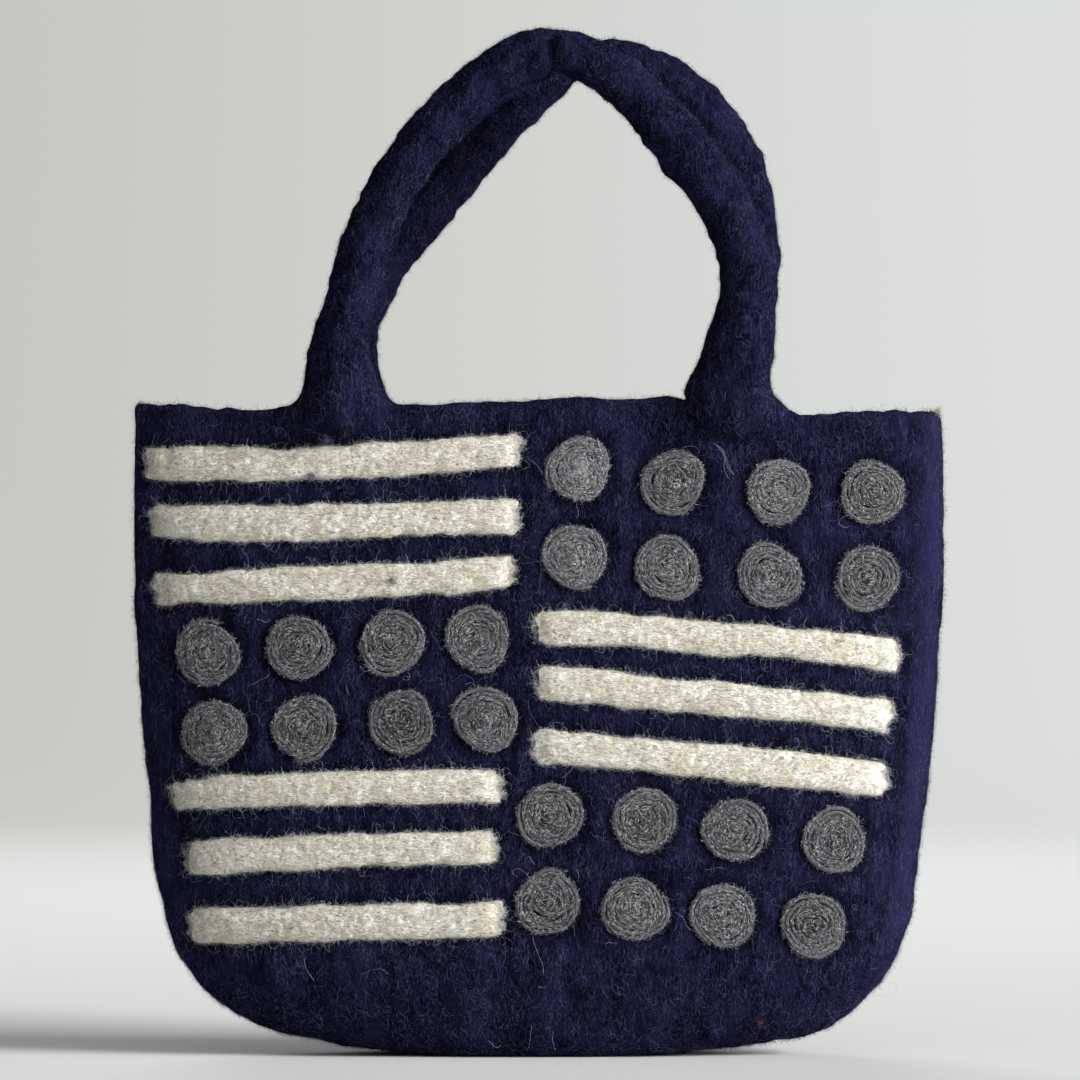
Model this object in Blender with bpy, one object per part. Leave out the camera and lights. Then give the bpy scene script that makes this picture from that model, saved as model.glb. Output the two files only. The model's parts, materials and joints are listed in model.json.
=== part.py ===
"""A felted wool knitting bag: a seamless felt pouch, two rolled felt handles, and felt trim on its face.

Metres, +Z up. The bag stands on its base with its mouth up and its decorated face towards -Y.
The origin is under the middle of the bag, on the surface that it stands on.
"""

import math

import bmesh
import bpy
from mathutils import Vector

# Pouch outline
MOUTH_HALF_WIDTH = 0.170
HIP_TAPER = 0.022            # how much narrower the straight sides would be at the base
TAPER_TOP = 0.222            # height where the taper ends
CORNER_HEIGHT = 0.080        # height of the rounded lower corners
CORNER_RISE, CORNER_REACH = 3.0, 3.5   # exponents of the corner's curve, upright and across
RIM_HEIGHT = 0.275           # rim between the handle roots
SIDE_RIM_DROP = 0.004        # how much lower the rim is outside the roots
ROOT_OUTER_EDGE = 0.096      # where that drop starts, from the middle
RIM_SLOPE_LENGTH = 0.020
BASE_HALF_LENGTH = 0.058
BASE_HALF_DEPTH = 0.022
BELLY_HALF_DEPTH = 0.0385
BELLY_LOW, BELLY_HIGH = 0.070, 0.100
BELLY_RISE, BELLY_REACH = 2.4, 0.6     # exponents of the swell above the base
MOUTH_HALF_DEPTH = 0.026
BELLY_SQUARENESS, MOUTH_SQUARENESS = 2.5, 2.2   # exponents of the cross-section
SQUARE_TO, POINTED_FROM = 0.15, 0.27
WALL = 0.005
RING_POINTS = 64
CORNER_RINGS = (0, 0.0015, 0.004, 0.008, 0.013, 0.020, 0.030, 0.042, 0.058, 0.076)
RING_STEP = 0.022            # between the rings above those
RING_HEIGHTS = (*CORNER_RINGS, *(CORNER_RINGS[-1] + RING_STEP * i for i in range(1, 9)))

# Trim on the face
TRIM_GAP = 0.0006
SLOPE_STEP = 0.0005          # for measuring the face's slope
TRIM_THICKNESS = 0.0014
BAR_HEIGHT = 0.0150
BAR_COLUMNS = 14
COIL_RADIUS = 0.0138
COIL_POINTS = 16
MIDDLE_Y = (TRIM_GAP + TRIM_THICKNESS) / 2   # the pouch sits back by half of what the trim stands proud

# Bars, from the top down: (left end x, left end z, right end x, right end z)
BARS = {
    "upper_left_bar": (
        (-0.165, 0.248, -0.007, 0.253),
        (-0.162, 0.223, -0.007, 0.227),
        (-0.160, 0.196, -0.007, 0.204),
    ),
    "right_bar": (
        (-0.001, 0.181, 0.153, 0.169),
        (-0.001, 0.157, 0.149, 0.143),
        (-0.001, 0.131, 0.147, 0.116),
    ),
    "lower_left_bar": (
        (-0.153, 0.110, -0.014, 0.114),
        (-0.147, 0.084, -0.016, 0.088),
        (-0.145, 0.055, -0.013, 0.058),
    ),
}
# Coils: centres of the top row, step to the lower row, and how wide the lower row is beside the top one
COILS = {
    "upper_right_coil": (
        ((0.017, 0.246), (0.056, 0.241), (0.099, 0.237), (0.140, 0.237)), (-0.0020, -0.036), 1.00,
    ),
    "middle_left_coil": (
        ((-0.138, 0.170), (-0.101, 0.173), (-0.061, 0.174), (-0.026, 0.175)), (0.0030, -0.035), 1.00,
    ),
    "lower_right_coil": (
        ((0.005, 0.102), (0.044, 0.099), (0.082, 0.095), (0.123, 0.090)), (-0.0015, -0.036), 0.94,
    ),
}

# Handles: each rolled rope's route from foot to foot in its own upright plane, as (x, z, half width)
HANDLE_HALF_DEPTH = 0.0115
HANDLE_Y = 0.0225            # from the pouch's middle plane to each handle's
FOOT_HALF_WIDTH = 0.017
FOOT_GAP = 0.0005
HINGE_HEIGHT = RIM_HEIGHT + HANDLE_HALF_DEPTH
FRONT_ROUTE = (
    (-0.0825, 0.000, FOOT_HALF_WIDTH), (-0.0830, 0.010, 0.0148), (-0.0800, 0.025, 0.0128),
    (-0.0735, 0.051, 0.0108), (-0.0600, 0.080, 0.0102), (-0.0395, 0.107, 0.0104),
    (-0.0130, 0.128, 0.0112), (0.0065, 0.1325, 0.0122), (0.0310, 0.124, 0.0110),
    (0.0560, 0.102, 0.0112), (0.0735, 0.078, 0.0116), (0.0830, 0.055, 0.0120),
    (0.0855, 0.035, 0.0128), (0.0838, 0.013, 0.0144), (0.0833, 0.000, FOOT_HALF_WIDTH),
)
REAR_ROUTE = (
    (-0.0800, 0.000, FOOT_HALF_WIDTH), (-0.0775, 0.013, 0.0140), (-0.0690, 0.038, 0.0112),
    (-0.0500, 0.067, 0.0106), (-0.0250, 0.098, 0.0106), (-0.0020, 0.122, 0.0110),
    (0.0200, 0.1305, 0.0112), (0.0420, 0.128, 0.0110), (0.0665, 0.113, 0.0110),
    (0.0830, 0.087, 0.0112), (0.0900, 0.056, 0.0116), (0.0893, 0.032, 0.0122),
    (0.0865, 0.012, 0.0146), (0.0845, 0.000, FOOT_HALF_WIDTH),
)
ROPE_SECTIONS = 46
ROPE_POINTS = 14
ROUTE_STEPS = 12             # steps between two points of a route
FOOT_CAP_RINGS = 4
FOOT_TIP = 0.6               # how blunt a foot's tip is, as a share of one of those rings

# Handle roots on the pouch: a felt boss with a dished seat, cut back so that the handle can fall outwards
BOSS_HALF_SIZE = (0.0205, 0.0120, 0.0100)
BOSS_DROP = 0.0060           # from the rim to the boss's middle
SWING_OUT = math.radians(100)
WEDGE_SIZE = (0.0375, 0.040, 0.020)
WEDGE_GAP = 0.0008

NAVY = ((0.020, 0.020, 0.055), 0.95)
CREAM = ((0.62, 0.60, 0.50), 0.95)
GREY = ((0.13, 0.13, 0.14), 0.90)


def clamp(value):
    return max(0.0, min(1.0, value))


def smooth_step(value):
    t = clamp(value)
    return t * t * (3 - 2 * t)


def half_width(z):
    """Half the pouch's width at height z."""
    taper = HIP_TAPER * clamp(1 - z / TAPER_TOP) ** 2
    corner = (1 - clamp(1 - z / CORNER_HEIGHT) ** CORNER_RISE) ** (1 / CORNER_REACH)
    return max(BASE_HALF_LENGTH, (MOUTH_HALF_WIDTH - taper) * corner)


def half_depth(z):
    """Half the pouch's depth at height z: flat base, full belly, closing mouth."""
    swell = (1 - clamp(1 - z / BELLY_LOW) ** BELLY_RISE) ** BELLY_REACH
    close = smooth_step((z - BELLY_HIGH) / (RIM_HEIGHT - BELLY_HIGH))
    belly = BASE_HALF_DEPTH + (BELLY_HALF_DEPTH - BASE_HALF_DEPTH) * swell
    return belly - (BELLY_HALF_DEPTH - MOUTH_HALF_DEPTH) * close


def squareness(z):
    """Exponent of the pouch's cross-section, which is more pointed at the mouth."""
    pointed = smooth_step((z - SQUARE_TO) / (POINTED_FROM - SQUARE_TO))
    return BELLY_SQUARENESS + (MOUTH_SQUARENESS - BELLY_SQUARENESS) * pointed


def rim_height(x):
    return RIM_HEIGHT - SIDE_RIM_DROP * smooth_step((abs(x) - ROOT_OUTER_EDGE) / RIM_SLOPE_LENGTH)


def front_y(x, z):
    share = clamp(abs(x) / half_width(z))
    p = squareness(z)
    return MIDDLE_Y - half_depth(z) * (1 - share ** p) ** (1 / p)


def on_face(x, z, lift):
    """A point lifted off the pouch's front face along the face's normal."""
    step = SLOPE_STEP
    slope_x = (front_y(x + step, z) - front_y(x - step, z)) / (2 * step)
    slope_z = (front_y(x, z + step) - front_y(x, z - step)) / (2 * step)
    normal = Vector((slope_x, -1, slope_z)).normalized()
    return Vector((x, front_y(x, z), z)) + normal * lift


def ring(z, inset, at_rim=False):
    """One loop of the pouch's wall. The inner wall's loops are inset by the felt's thickness."""
    height = max(z - inset, 0.0)
    width, depth, p = half_width(height) - inset, half_depth(height) - inset, squareness(z)
    points = []
    for i in range(RING_POINTS):
        angle = 2 * math.pi * i / RING_POINTS
        c, s = math.cos(angle), math.sin(angle)
        x = width * math.copysign(abs(c) ** (2 / p), c)
        y = MIDDLE_Y + depth * math.copysign(abs(s) ** (2 / p), s)
        points.append(Vector((x, y, rim_height(x) if at_rim else z)))
    return points


def loft(mesh, loops):
    """Joins loops of equal length into a closed skin and caps the first and the last."""
    rows = [[mesh.verts.new(point) for point in loop] for loop in loops]
    for low, high in zip(rows, rows[1:]):
        for i in range(len(low)):
            j = (i + 1) % len(low)
            mesh.faces.new((low[i], low[j], high[j], high[i]))
    mesh.faces.new(reversed(rows[0]))
    mesh.faces.new(rows[-1])


def make_object(name, mesh, finish, location=(0, 0, 0)):
    """Turns a bmesh into a named object with its own material."""
    bmesh.ops.recalc_face_normals(mesh, faces=mesh.faces)
    data = bpy.data.meshes.new(name)
    mesh.to_mesh(data)
    mesh.free()
    data.shade_smooth()
    obj = bpy.data.objects.new(name, data)
    obj.location = location
    bpy.context.scene.collection.objects.link(obj)
    colour, roughness = finish
    material = bpy.data.materials.new(name)
    material.use_nodes = True
    shader = material.node_tree.nodes["Principled BSDF"]
    shader.inputs["Base Color"].default_value = (*colour, 1)
    shader.inputs["Roughness"].default_value = roughness
    shader.inputs["Metallic"].default_value = 0
    data.materials.append(material)
    return obj


def guide(obj):
    """Marks an object as a tool for a Boolean, and not a piece."""
    obj.hide_render = True
    obj.display_type = "WIRE"
    return obj


def boolean(obj, tool, operation):
    modifier = obj.modifiers.new(tool.name, "BOOLEAN")
    modifier.object = tool
    modifier.operation = operation
    modifier.solver = "EXACT"


def add_ellipsoid(mesh, centre, half_size):
    made = bmesh.ops.create_uvsphere(mesh, u_segments=24, v_segments=12, radius=1)
    for vertex in made["verts"]:
        vertex.co = Vector(c + a * b for c, a, b in zip(centre, vertex.co, half_size))


def foot_places():
    """Each handle foot on its hinge: (x, y, side), where side is -1 at the front and +1 at the rear."""
    for side, route in ((-1, FRONT_ROUTE), (1, REAR_ROUTE)):
        for end in (route[0], route[-1]):
            yield end[0], MIDDLE_Y + side * HANDLE_Y, side


def root_bosses():
    mesh = bmesh.new()
    for x, y, _ in foot_places():
        add_ellipsoid(mesh, (x, y, RIM_HEIGHT - BOSS_DROP), BOSS_HALF_SIZE)
    return guide(make_object("root_bosses", mesh, NAVY))


def root_seats():
    """What the handles' rounded feet turn in, a little larger than the feet."""
    mesh = bmesh.new()
    radius = HANDLE_HALF_DEPTH + FOOT_GAP
    for x, y, _ in foot_places():
        add_ellipsoid(mesh, (x, y, HINGE_HEIGHT), (FOOT_HALF_WIDTH + FOOT_GAP, radius, radius))
    return guide(make_object("root_seats", mesh, NAVY))


def swing_room():
    """Wedges that lower the rim outside each seat, along the underside of a handle that is swung out."""
    mesh = bmesh.new()
    below_level = SWING_OUT - math.pi / 2
    for x, y, side in foot_places():
        made = bmesh.ops.create_cube(mesh, size=1)
        for vertex in made["verts"]:
            along = side * (vertex.co.y + 0.5) * WEDGE_SIZE[1]
            up = (vertex.co.z + 0.5) * WEDGE_SIZE[2] - HANDLE_HALF_DEPTH - WEDGE_GAP
            turned_y = along * math.cos(below_level) + side * up * math.sin(below_level)
            turned_z = up * math.cos(below_level) - abs(along) * math.sin(below_level)
            vertex.co = Vector((x + vertex.co.x * WEDGE_SIZE[0], y + turned_y, HINGE_HEIGHT + turned_z))
    return guide(make_object("swing_room", mesh, NAVY))


def felt_body():
    """The pouch: one shell of thick felt, open at the mouth, with the four handle roots felted into its rim."""
    outer = [ring(z, 0.0) for z in RING_HEIGHTS] + [ring(RIM_HEIGHT, 0.0, at_rim=True)]
    inner_heights = [WALL, *(z for z in RING_HEIGHTS if z > 2 * WALL)]
    inner = [ring(RIM_HEIGHT, WALL, at_rim=True)] + [ring(z, WALL) for z in reversed(inner_heights)]
    mesh = bmesh.new()
    loft(mesh, outer + inner)
    body = make_object("felt_body", mesh, NAVY)
    boolean(body, root_bosses(), "UNION")
    boolean(body, root_seats(), "DIFFERENCE")
    boolean(body, swing_room(), "DIFFERENCE")
    return body


def smooth_route(route, count):
    """Points evenly along a smooth curve through the route's own points."""
    knots = [Vector(point) for point in route]
    knots = [knots[0] * 2 - knots[1], *knots, knots[-1] * 2 - knots[-2]]
    fine = []
    for a, b, c, d in zip(knots, knots[1:], knots[2:], knots[3:]):
        for i in range(ROUTE_STEPS):
            t = i / ROUTE_STEPS
            fine.append((b * 2 + (c - a) * t + (a * 2 - b * 5 + c * 4 - d) * t ** 2
                         + (b * 3 - a - c * 3 + d) * t ** 3) / 2)
    fine.append(knots[-2])
    lengths = [0.0]
    for a, b in zip(fine, fine[1:]):
        lengths.append(lengths[-1] + (b.xy - a.xy).length)
    points, k = [], 0
    for i in range(count):
        wanted = lengths[-1] * i / (count - 1)
        while k < len(fine) - 2 and lengths[k + 1] < wanted:
            k += 1
        share = (wanted - lengths[k]) / (lengths[k + 1] - lengths[k])
        points.append(fine[k].lerp(fine[k + 1], clamp(share)))
    return points


def rope_section(x, z, half, depth, tangent):
    """An oval across the rope. half lies in the handle's plane and depth across it."""
    across = Vector((tangent.y, 0, -tangent.x))
    points = []
    for i in range(ROPE_POINTS):
        angle = 2 * math.pi * i / ROPE_POINTS
        offset = across * half * math.cos(angle)
        points.append(Vector((x, 0, z)) + offset + Vector((0, depth * math.sin(angle), 0)))
    return points


def foot_cap(x, sign):
    """The rounded end of a foot, from just under the hinge line down to its tip, as loops."""
    loops = []
    for i in range(1, FOOT_CAP_RINGS + 1):
        turn = math.pi / 2 * i / (FOOT_CAP_RINGS + FOOT_TIP)
        half, depth = FOOT_HALF_WIDTH * math.cos(turn), HANDLE_HALF_DEPTH * math.cos(turn)
        loops.append(rope_section(x, -HANDLE_HALF_DEPTH * math.sin(turn), half, depth, Vector((0, sign))))
    return loops


def handle(name, route, y):
    """A rolled felt rope. Its origin is on its hinge line, which runs along X through both feet."""
    points = smooth_route(route, ROPE_SECTIONS)
    loops = foot_cap(points[0].x, 1)[::-1]
    for i, point in enumerate(points):
        before, after = points[max(i - 1, 0)], points[min(i + 1, len(points) - 1)]
        tangent = (after - before).xy.normalized()
        if i == 0:
            tangent = Vector((0, 1))
        if i == len(points) - 1:
            tangent = Vector((0, -1))
        loops.append(rope_section(point.x, point.y, point.z, HANDLE_HALF_DEPTH, tangent))
    loops += foot_cap(points[-1].x, -1)
    mesh = bmesh.new()
    loft(mesh, loops)
    return make_object(name, mesh, NAVY, (0, y, HINGE_HEIGHT))


def face_patch(name, rows, finish):
    """A thin closed piece that follows the face, from a grid of (x, z) points."""
    mesh = bmesh.new()
    low = [[mesh.verts.new(on_face(x, z, TRIM_GAP)) for x, z in row] for row in rows]
    high = [[mesh.verts.new(on_face(x, z, TRIM_GAP + TRIM_THICKNESS)) for x, z in row] for row in rows]
    for grid in (low, high):
        for a, b in zip(grid, grid[1:]):
            for i in range(len(a) - 1):
                mesh.faces.new((a[i], a[i + 1], b[i + 1], b[i]))
    edge = [(0, i) for i in range(len(rows[0]))]
    edge += [(j, len(rows[0]) - 1) for j in range(1, len(rows))]
    edge += [(len(rows) - 1, i) for i in range(len(rows[0]) - 2, -1, -1)]
    edge += [(j, 0) for j in range(len(rows) - 2, 0, -1)]
    for (j, i), (m, k) in zip(edge, edge[1:] + edge[:1]):
        mesh.faces.new((low[j][i], low[m][k], high[m][k], high[j][i]))
    return make_object(name, mesh, finish)


def bar(name, x0, z0, x1, z1):
    """A flat strip of wool. Its columns are closer together where the face turns round the side."""
    turn0, turn1 = (math.asin(x / half_width((z0 + z1) / 2)) for x in (x0, x1))
    rows = []
    for v in (-0.5, 0.0, 0.5):
        row = []
        for i in range(BAR_COLUMNS + 1):
            turn = turn0 + (turn1 - turn0) * i / BAR_COLUMNS
            x = half_width((z0 + z1) / 2) * math.sin(turn)
            share = (x - x0) / (x1 - x0)
            row.append((x, z0 + (z1 - z0) * share + v * BAR_HEIGHT))
        rows.append(row)
    return face_patch(name, rows, CREAM)


def coil(name, x, z):
    """A flat spiral of yarn, as one round disc."""
    mesh = bmesh.new()
    loops = {}
    for lift in (TRIM_GAP, TRIM_GAP + TRIM_THICKNESS):
        for radius in (COIL_RADIUS, COIL_RADIUS / 2):
            turns = [2 * math.pi * i / COIL_POINTS for i in range(COIL_POINTS)]
            places = [(x + radius * math.cos(t), z + radius * math.sin(t)) for t in turns]
            loops[lift, radius] = [mesh.verts.new(on_face(*place, lift)) for place in places]
        middle = mesh.verts.new(on_face(x, z, lift))
        outer, inner = loops[lift, COIL_RADIUS], loops[lift, COIL_RADIUS / 2]
        for i in range(COIL_POINTS):
            j = (i + 1) % COIL_POINTS
            mesh.faces.new((outer[i], outer[j], inner[j], inner[i]))
            mesh.faces.new((inner[i], inner[j], middle))
    low, high = loops[TRIM_GAP, COIL_RADIUS], loops[TRIM_GAP + TRIM_THICKNESS, COIL_RADIUS]
    for i in range(COIL_POINTS):
        j = (i + 1) % COIL_POINTS
        mesh.faces.new((low[i], low[j], high[j], high[i]))
    return make_object(name, mesh, GREY)


def all_bars():
    for block, strips in BARS.items():
        for number, (x0, z0, x1, z1) in enumerate(strips, 1):
            bar(f"{block}_{number}", x0, z0, x1, z1)


def all_coils():
    for block, (top_row, step, spread) in COILS.items():
        first_x = top_row[0][0]
        low_row = [(first_x + step[0] + (x - first_x) * spread, z + step[1]) for x, z in top_row]
        for number, (x, z) in enumerate([*top_row, *low_row], 1):
            coil(f"{block}_{number}", x, z)


def main():
    for obj in list(bpy.data.objects):
        bpy.data.objects.remove(obj)
    felt_body()
    handle("front_handle", FRONT_ROUTE, MIDDLE_Y - HANDLE_Y)
    handle("rear_handle", REAR_ROUTE, MIDDLE_Y + HANDLE_Y)
    all_bars()
    all_coils()


main()
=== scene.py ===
"""Looks of the felted wool knitting bag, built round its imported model.

Metres, +Z up, decorated face towards -Y. Every place on the bag is read from the frame's own solids.
"""

import json
import math

import bpy
import numpy as np
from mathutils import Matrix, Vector
from mathutils.bvhtree import BVHTree


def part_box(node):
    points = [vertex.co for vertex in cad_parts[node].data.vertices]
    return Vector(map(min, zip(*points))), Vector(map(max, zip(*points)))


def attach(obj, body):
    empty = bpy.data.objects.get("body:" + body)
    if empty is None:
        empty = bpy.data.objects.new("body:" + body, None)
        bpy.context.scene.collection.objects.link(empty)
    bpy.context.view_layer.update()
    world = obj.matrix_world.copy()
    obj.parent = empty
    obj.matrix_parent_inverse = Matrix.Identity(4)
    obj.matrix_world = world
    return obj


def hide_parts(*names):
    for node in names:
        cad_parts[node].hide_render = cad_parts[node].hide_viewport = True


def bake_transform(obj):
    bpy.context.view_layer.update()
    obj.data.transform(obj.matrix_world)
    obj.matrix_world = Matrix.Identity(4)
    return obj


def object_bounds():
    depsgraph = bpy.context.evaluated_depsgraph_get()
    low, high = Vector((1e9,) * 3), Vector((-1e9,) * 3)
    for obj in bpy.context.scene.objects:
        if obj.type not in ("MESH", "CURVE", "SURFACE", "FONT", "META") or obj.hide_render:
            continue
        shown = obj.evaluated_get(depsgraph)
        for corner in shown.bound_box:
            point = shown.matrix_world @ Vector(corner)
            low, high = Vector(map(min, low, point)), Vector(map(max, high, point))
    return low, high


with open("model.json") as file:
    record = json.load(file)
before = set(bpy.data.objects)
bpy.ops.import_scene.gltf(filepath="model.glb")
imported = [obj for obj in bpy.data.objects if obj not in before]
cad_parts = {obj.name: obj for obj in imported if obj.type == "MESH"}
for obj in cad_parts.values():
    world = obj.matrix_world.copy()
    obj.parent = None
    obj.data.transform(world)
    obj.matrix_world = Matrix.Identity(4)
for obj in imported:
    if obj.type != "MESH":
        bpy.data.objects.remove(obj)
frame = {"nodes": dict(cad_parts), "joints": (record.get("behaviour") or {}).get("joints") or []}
CAD_LOW, CAD_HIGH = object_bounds()

MM = 0.001
VOXEL = 2.0 * MM  # how fine the felt's skin is grown
FLOOR = -0.3 * MM  # just under the bag, so that the two don't share a plane

# Linear colours of the felt, the wool and the yarn
NAVY_BLACK = (0.002, 0.0019, 0.0042)
NAVY = (0.0115, 0.0114, 0.033)
NAVY_CLOUD = (0.018, 0.018, 0.058)
# lighter felt of the rolled side edges: partly its smoother felt, partly a painted highlight
NAVY_ROLL_HIGHLIGHT = (0.025, 0.0255, 0.075)
NAVY_LIGHT = (0.036, 0.0365, 0.105)
CREAM = (0.96, 0.945, 0.86)
CREAM_WARM = (0.8, 0.745, 0.61)
CREAM_TUFT = (0.54, 0.49, 0.39)
CREAM_SHADE = (0.290, 0.272, 0.228)
# dark brown of the needle pits: painted shade
CREAM_PIT_SHADE = (0.100, 0.086, 0.062)
CREAM_EDGE = (0.2, 0.2, 0.24)
GREY_DARK = (0.018, 0.018, 0.020)
GREY = (0.085, 0.084, 0.089)
GREY_LIGHT = (0.310, 0.308, 0.325)

# How the felt has gone out of its first shape, by part: where (x, z), how far the pull reaches, and the move
# (x, z), all in mm
PULLS = {
    "pouch": (
        (-168, 274, 14, -0.8, 3.2), (-144, 275, 16, 0, 2.2), (-46, 276, 14, 0, -1.8), (16, 276, 16, 0, 1.3),
        (46, 277, 10, 0, 1.6), (112, 274, 14, 0, -1.6), (118, 12, 24, 5.5, -1.0), (146, 34, 16, 1.8, -1.2),
        (163, 84, 22, -1.8, 0), (171, 200, 50, 1.0, 0), (58, 278, 6, 0, 2.2), (171, 275, 6, -1.6, -1.6),
        (100, 6, 26, 0.6, -1.2), (-143, 34, 16, -1.1, -0.8), (-171, 215, 45, -0.7, 0),
        (-122, 16, 22, -2.2, -0.6), (-158, 70, 26, -1.0, 0),
    ),
    "front_handle": (
        (-91, 322, 14, 2.2, 0), (-97, 300, 14, 1.2, 0), (73, 325, 18, 3.6, 0), (54, 375, 15, -1.8, -1.2),
        (-2, 431, 14, 0, 0.2), (13, 403, 9, 0, 7.5), (31, 396, 10, 0.8, 1.2), (66, 352, 14, 1.0, 0.4),
    ),
    "rear_handle": (
        (62, 413, 26, 1.6, 1.8), (87, 378, 26, 2.6, 0.6), (101, 340, 22, 0.9, 0), (17, 404, 7.5, 0, 7.0),
        (36, 424, 14, 0, 1.2), (-49, 336, 10, -1.2, 0.5), (-57, 318, 16, -2.6, 0),
    ),
    "handles": (
        (-63, 297, 15, -4.4, 0), (65, 281, 9, -5.0, 0.5), (106, 281, 11, -2.8, -0.6),
    ),
}

# How each wool bar wanders from a straight strip, in mm: lift at its left end, middle and right end, and what
# is added to its width and to its length
BAR_SHAPES = {
    "upper_left_bar": (
        (1.0, -1.4, 1.4, -1.2, -0.8),
        (1.4, -0.8, -0.8, -1.0, -1.6),
        (0.2, -1.2, -1.0, -1.8, -2.8),
    ),
    "right_bar": (
        (-0.6, 0.6, -1.4, -1.6, -1.4),
        (0.0, 0.6, -0.8, -2.0, -0.8),
        (0.0, 0.6, -0.4, -1.0, -1.4),
    ),
    "lower_left_bar": (
        (-1.0, 0.8, -0.9, -1.6, -1.2),
        (-0.4, 0.5, 0.3, -1.4, -1.0),
        (-0.2, 0.2, 0.2, -0.6, -1.8),
    ),
}

# How much more tan the wool of each block of bars is than the middle of its kind. The lower-left block's
# negative value
# is painted light: its wool is made paler, as if more light reached it.
BAR_TAN_AND_PAINTED_LIGHT = {"upper_left_bar": 0.0, "right_bar": 0.0, "lower_left_bar": -0.16}

# How bright each coil's yarn is, against the middle of its kind
COIL_TONES = {
    "upper_right_coil": (1.55, 0.70, 1.05, 0.60, 1.25, 0.90, 0.90, 0.55),
    "middle_left_coil": (1.10, 0.70, 0.75, 0.80, 1.15, 0.82, 0.50, 0.80),
    "lower_right_coil": (0.75, 0.80, 0.80, 0.65, 0.70, 0.90, 0.95, 0.55),
}

# Coils that lie a little off their places, by number: (move x, move z) in mm
COIL_MOVES = {
    "upper_right_coil": {2: (0.9, 0.0), 3: (1.2, 0.2), 5: (0.7, -0.4), 7: (0.0, 1.2)},
    "middle_left_coil": {1: (0.0, -1.0), 2: (0.9, -1.2), 4: (1.0, 0.0), 5: (0.0, 1.0),
                         7: (1.2, 1.7), 8: (0.9, 1.3)},
    "lower_right_coil": {4: (0.9, 0.6), 5: (0.8, -1.1), 7: (1.6, 0.6), 8: (0.2, 1.8)},
}


# --- numbers and meshes


def smooth_step(values):
    """0 below 0, 1 above 1, and a smooth curve between."""
    t = np.clip(values, 0, 1)
    return t * t * (3 - 2 * t)


def hump(values, middle, width):
    """1 at the middle, falling away smoothly on both sides over about the given width."""
    return np.exp(-((values - middle) / width) ** 2)


def unit(vectors):
    """The vectors, each scaled to a length of 1."""
    return vectors / np.maximum(np.linalg.norm(vectors, axis=-1, keepdims=True), 1e-12)


def ripple(points, wavelength, seed, stretch=(1, 1, 1)):
    """A smooth random field with a given wavelength, about -1 to 1, from waves that run every way."""
    waves = 18
    rng = np.random.default_rng(seed)
    ways = unit(rng.normal(size=(waves, 3))) * rng.uniform(0.6, 1.4, (waves, 1)) / wavelength
    phases = rng.uniform(0, 2 * math.pi, waves)
    turns = (points * np.array(stretch)) @ ways.T * 2 * math.pi + phases
    return np.sin(turns).sum(1) / math.sqrt(waves / 2)


def placed(name, data):
    """An object in the scene that holds the given data."""
    obj = bpy.data.objects.new(name, data)
    bpy.context.scene.collection.objects.link(obj)
    return obj


def mesh_object(name, verts, tris, materials, picks=None):
    """A smooth-shaded object from arrays of points and triangles. Picks say each triangle's material."""
    data = bpy.data.meshes.new(name)
    data.vertices.add(len(verts))
    data.vertices.foreach_set("co", np.asarray(verts, np.float32).ravel())
    data.loops.add(len(tris) * 3)
    data.loops.foreach_set("vertex_index", np.asarray(tris, np.int32).ravel())
    data.polygons.add(len(tris))
    data.polygons.foreach_set("loop_start", np.arange(0, len(tris) * 3, 3, dtype=np.int32))
    for material in materials:
        data.materials.append(material)
    if picks is not None:
        data.polygons.foreach_set("material_index", np.asarray(picks, np.int32))
    data.update(calc_edges=True)
    data.shade_smooth()
    return placed(name, data)


def keep(obj, name, values):
    """Stores a number or a vector at each point of a mesh, for its material to read."""
    vector = np.ndim(values) == 2
    attribute = obj.data.attributes.new(name, "FLOAT_VECTOR" if vector else "FLOAT", "POINT")
    attribute.data.foreach_set("vector" if vector else "value", np.asarray(values, np.float32).ravel())


def grid_quads(index, ahead):
    """The squares between each row of points and the next. `ahead` holds each point's neighbour in its row."""
    return np.stack([index[:-1], ahead[:-1], ahead[1:], index[1:]], axis=-1).reshape(-1, 4)


def caps(ring, ahead, tip):
    """Triangles that close a ring of points with one more point."""
    return [(tip, b, a) for a, b in zip(ring.tolist(), ahead.tolist())]


def halved(quads):
    """Each square as two triangles."""
    return np.concatenate([quads[:, [0, 1, 2]], quads[:, [0, 2, 3]]])


def arrays_of(data):
    """A mesh's points, triangles and edges as arrays."""
    data.calc_loop_triangles()
    verts = np.empty(len(data.vertices) * 3, np.float32)
    data.vertices.foreach_get("co", verts)
    tris = np.empty(len(data.loop_triangles) * 3, np.int32)
    data.loop_triangles.foreach_get("vertices", tris)
    edges = np.empty(len(data.edges) * 2, np.int32)
    data.edges.foreach_get("vertices", edges)
    return verts.reshape(-1, 3).astype(float), tris.reshape(-1, 3), edges.reshape(-1, 2)


def neighbour_step(verts, edges, valence):
    """How far each point is from the middle of its neighbours."""
    total = np.empty_like(verts)
    for axis in range(3):
        total[:, axis] = np.bincount(edges[:, 0], verts[edges[:, 1], axis], len(verts))
        total[:, axis] += np.bincount(edges[:, 1], verts[edges[:, 0], axis], len(verts))
    return total / valence[:, None] - verts


def smoothed(verts, edges, rounds, weight=1.0, keep_size=True):
    """Evens out a skin. With keep_size each round pushes back what it shrank."""
    step, step_back = 0.5, 0.52
    valence = np.bincount(edges.ravel(), minlength=len(verts)).clip(1)
    weight = np.broadcast_to(weight, len(verts))[:, None]
    for _ in range(rounds):
        verts = verts + step * weight * neighbour_step(verts, edges, valence)
        if keep_size:
            verts = verts - step_back * weight * neighbour_step(verts, edges, valence)
    return verts


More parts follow.
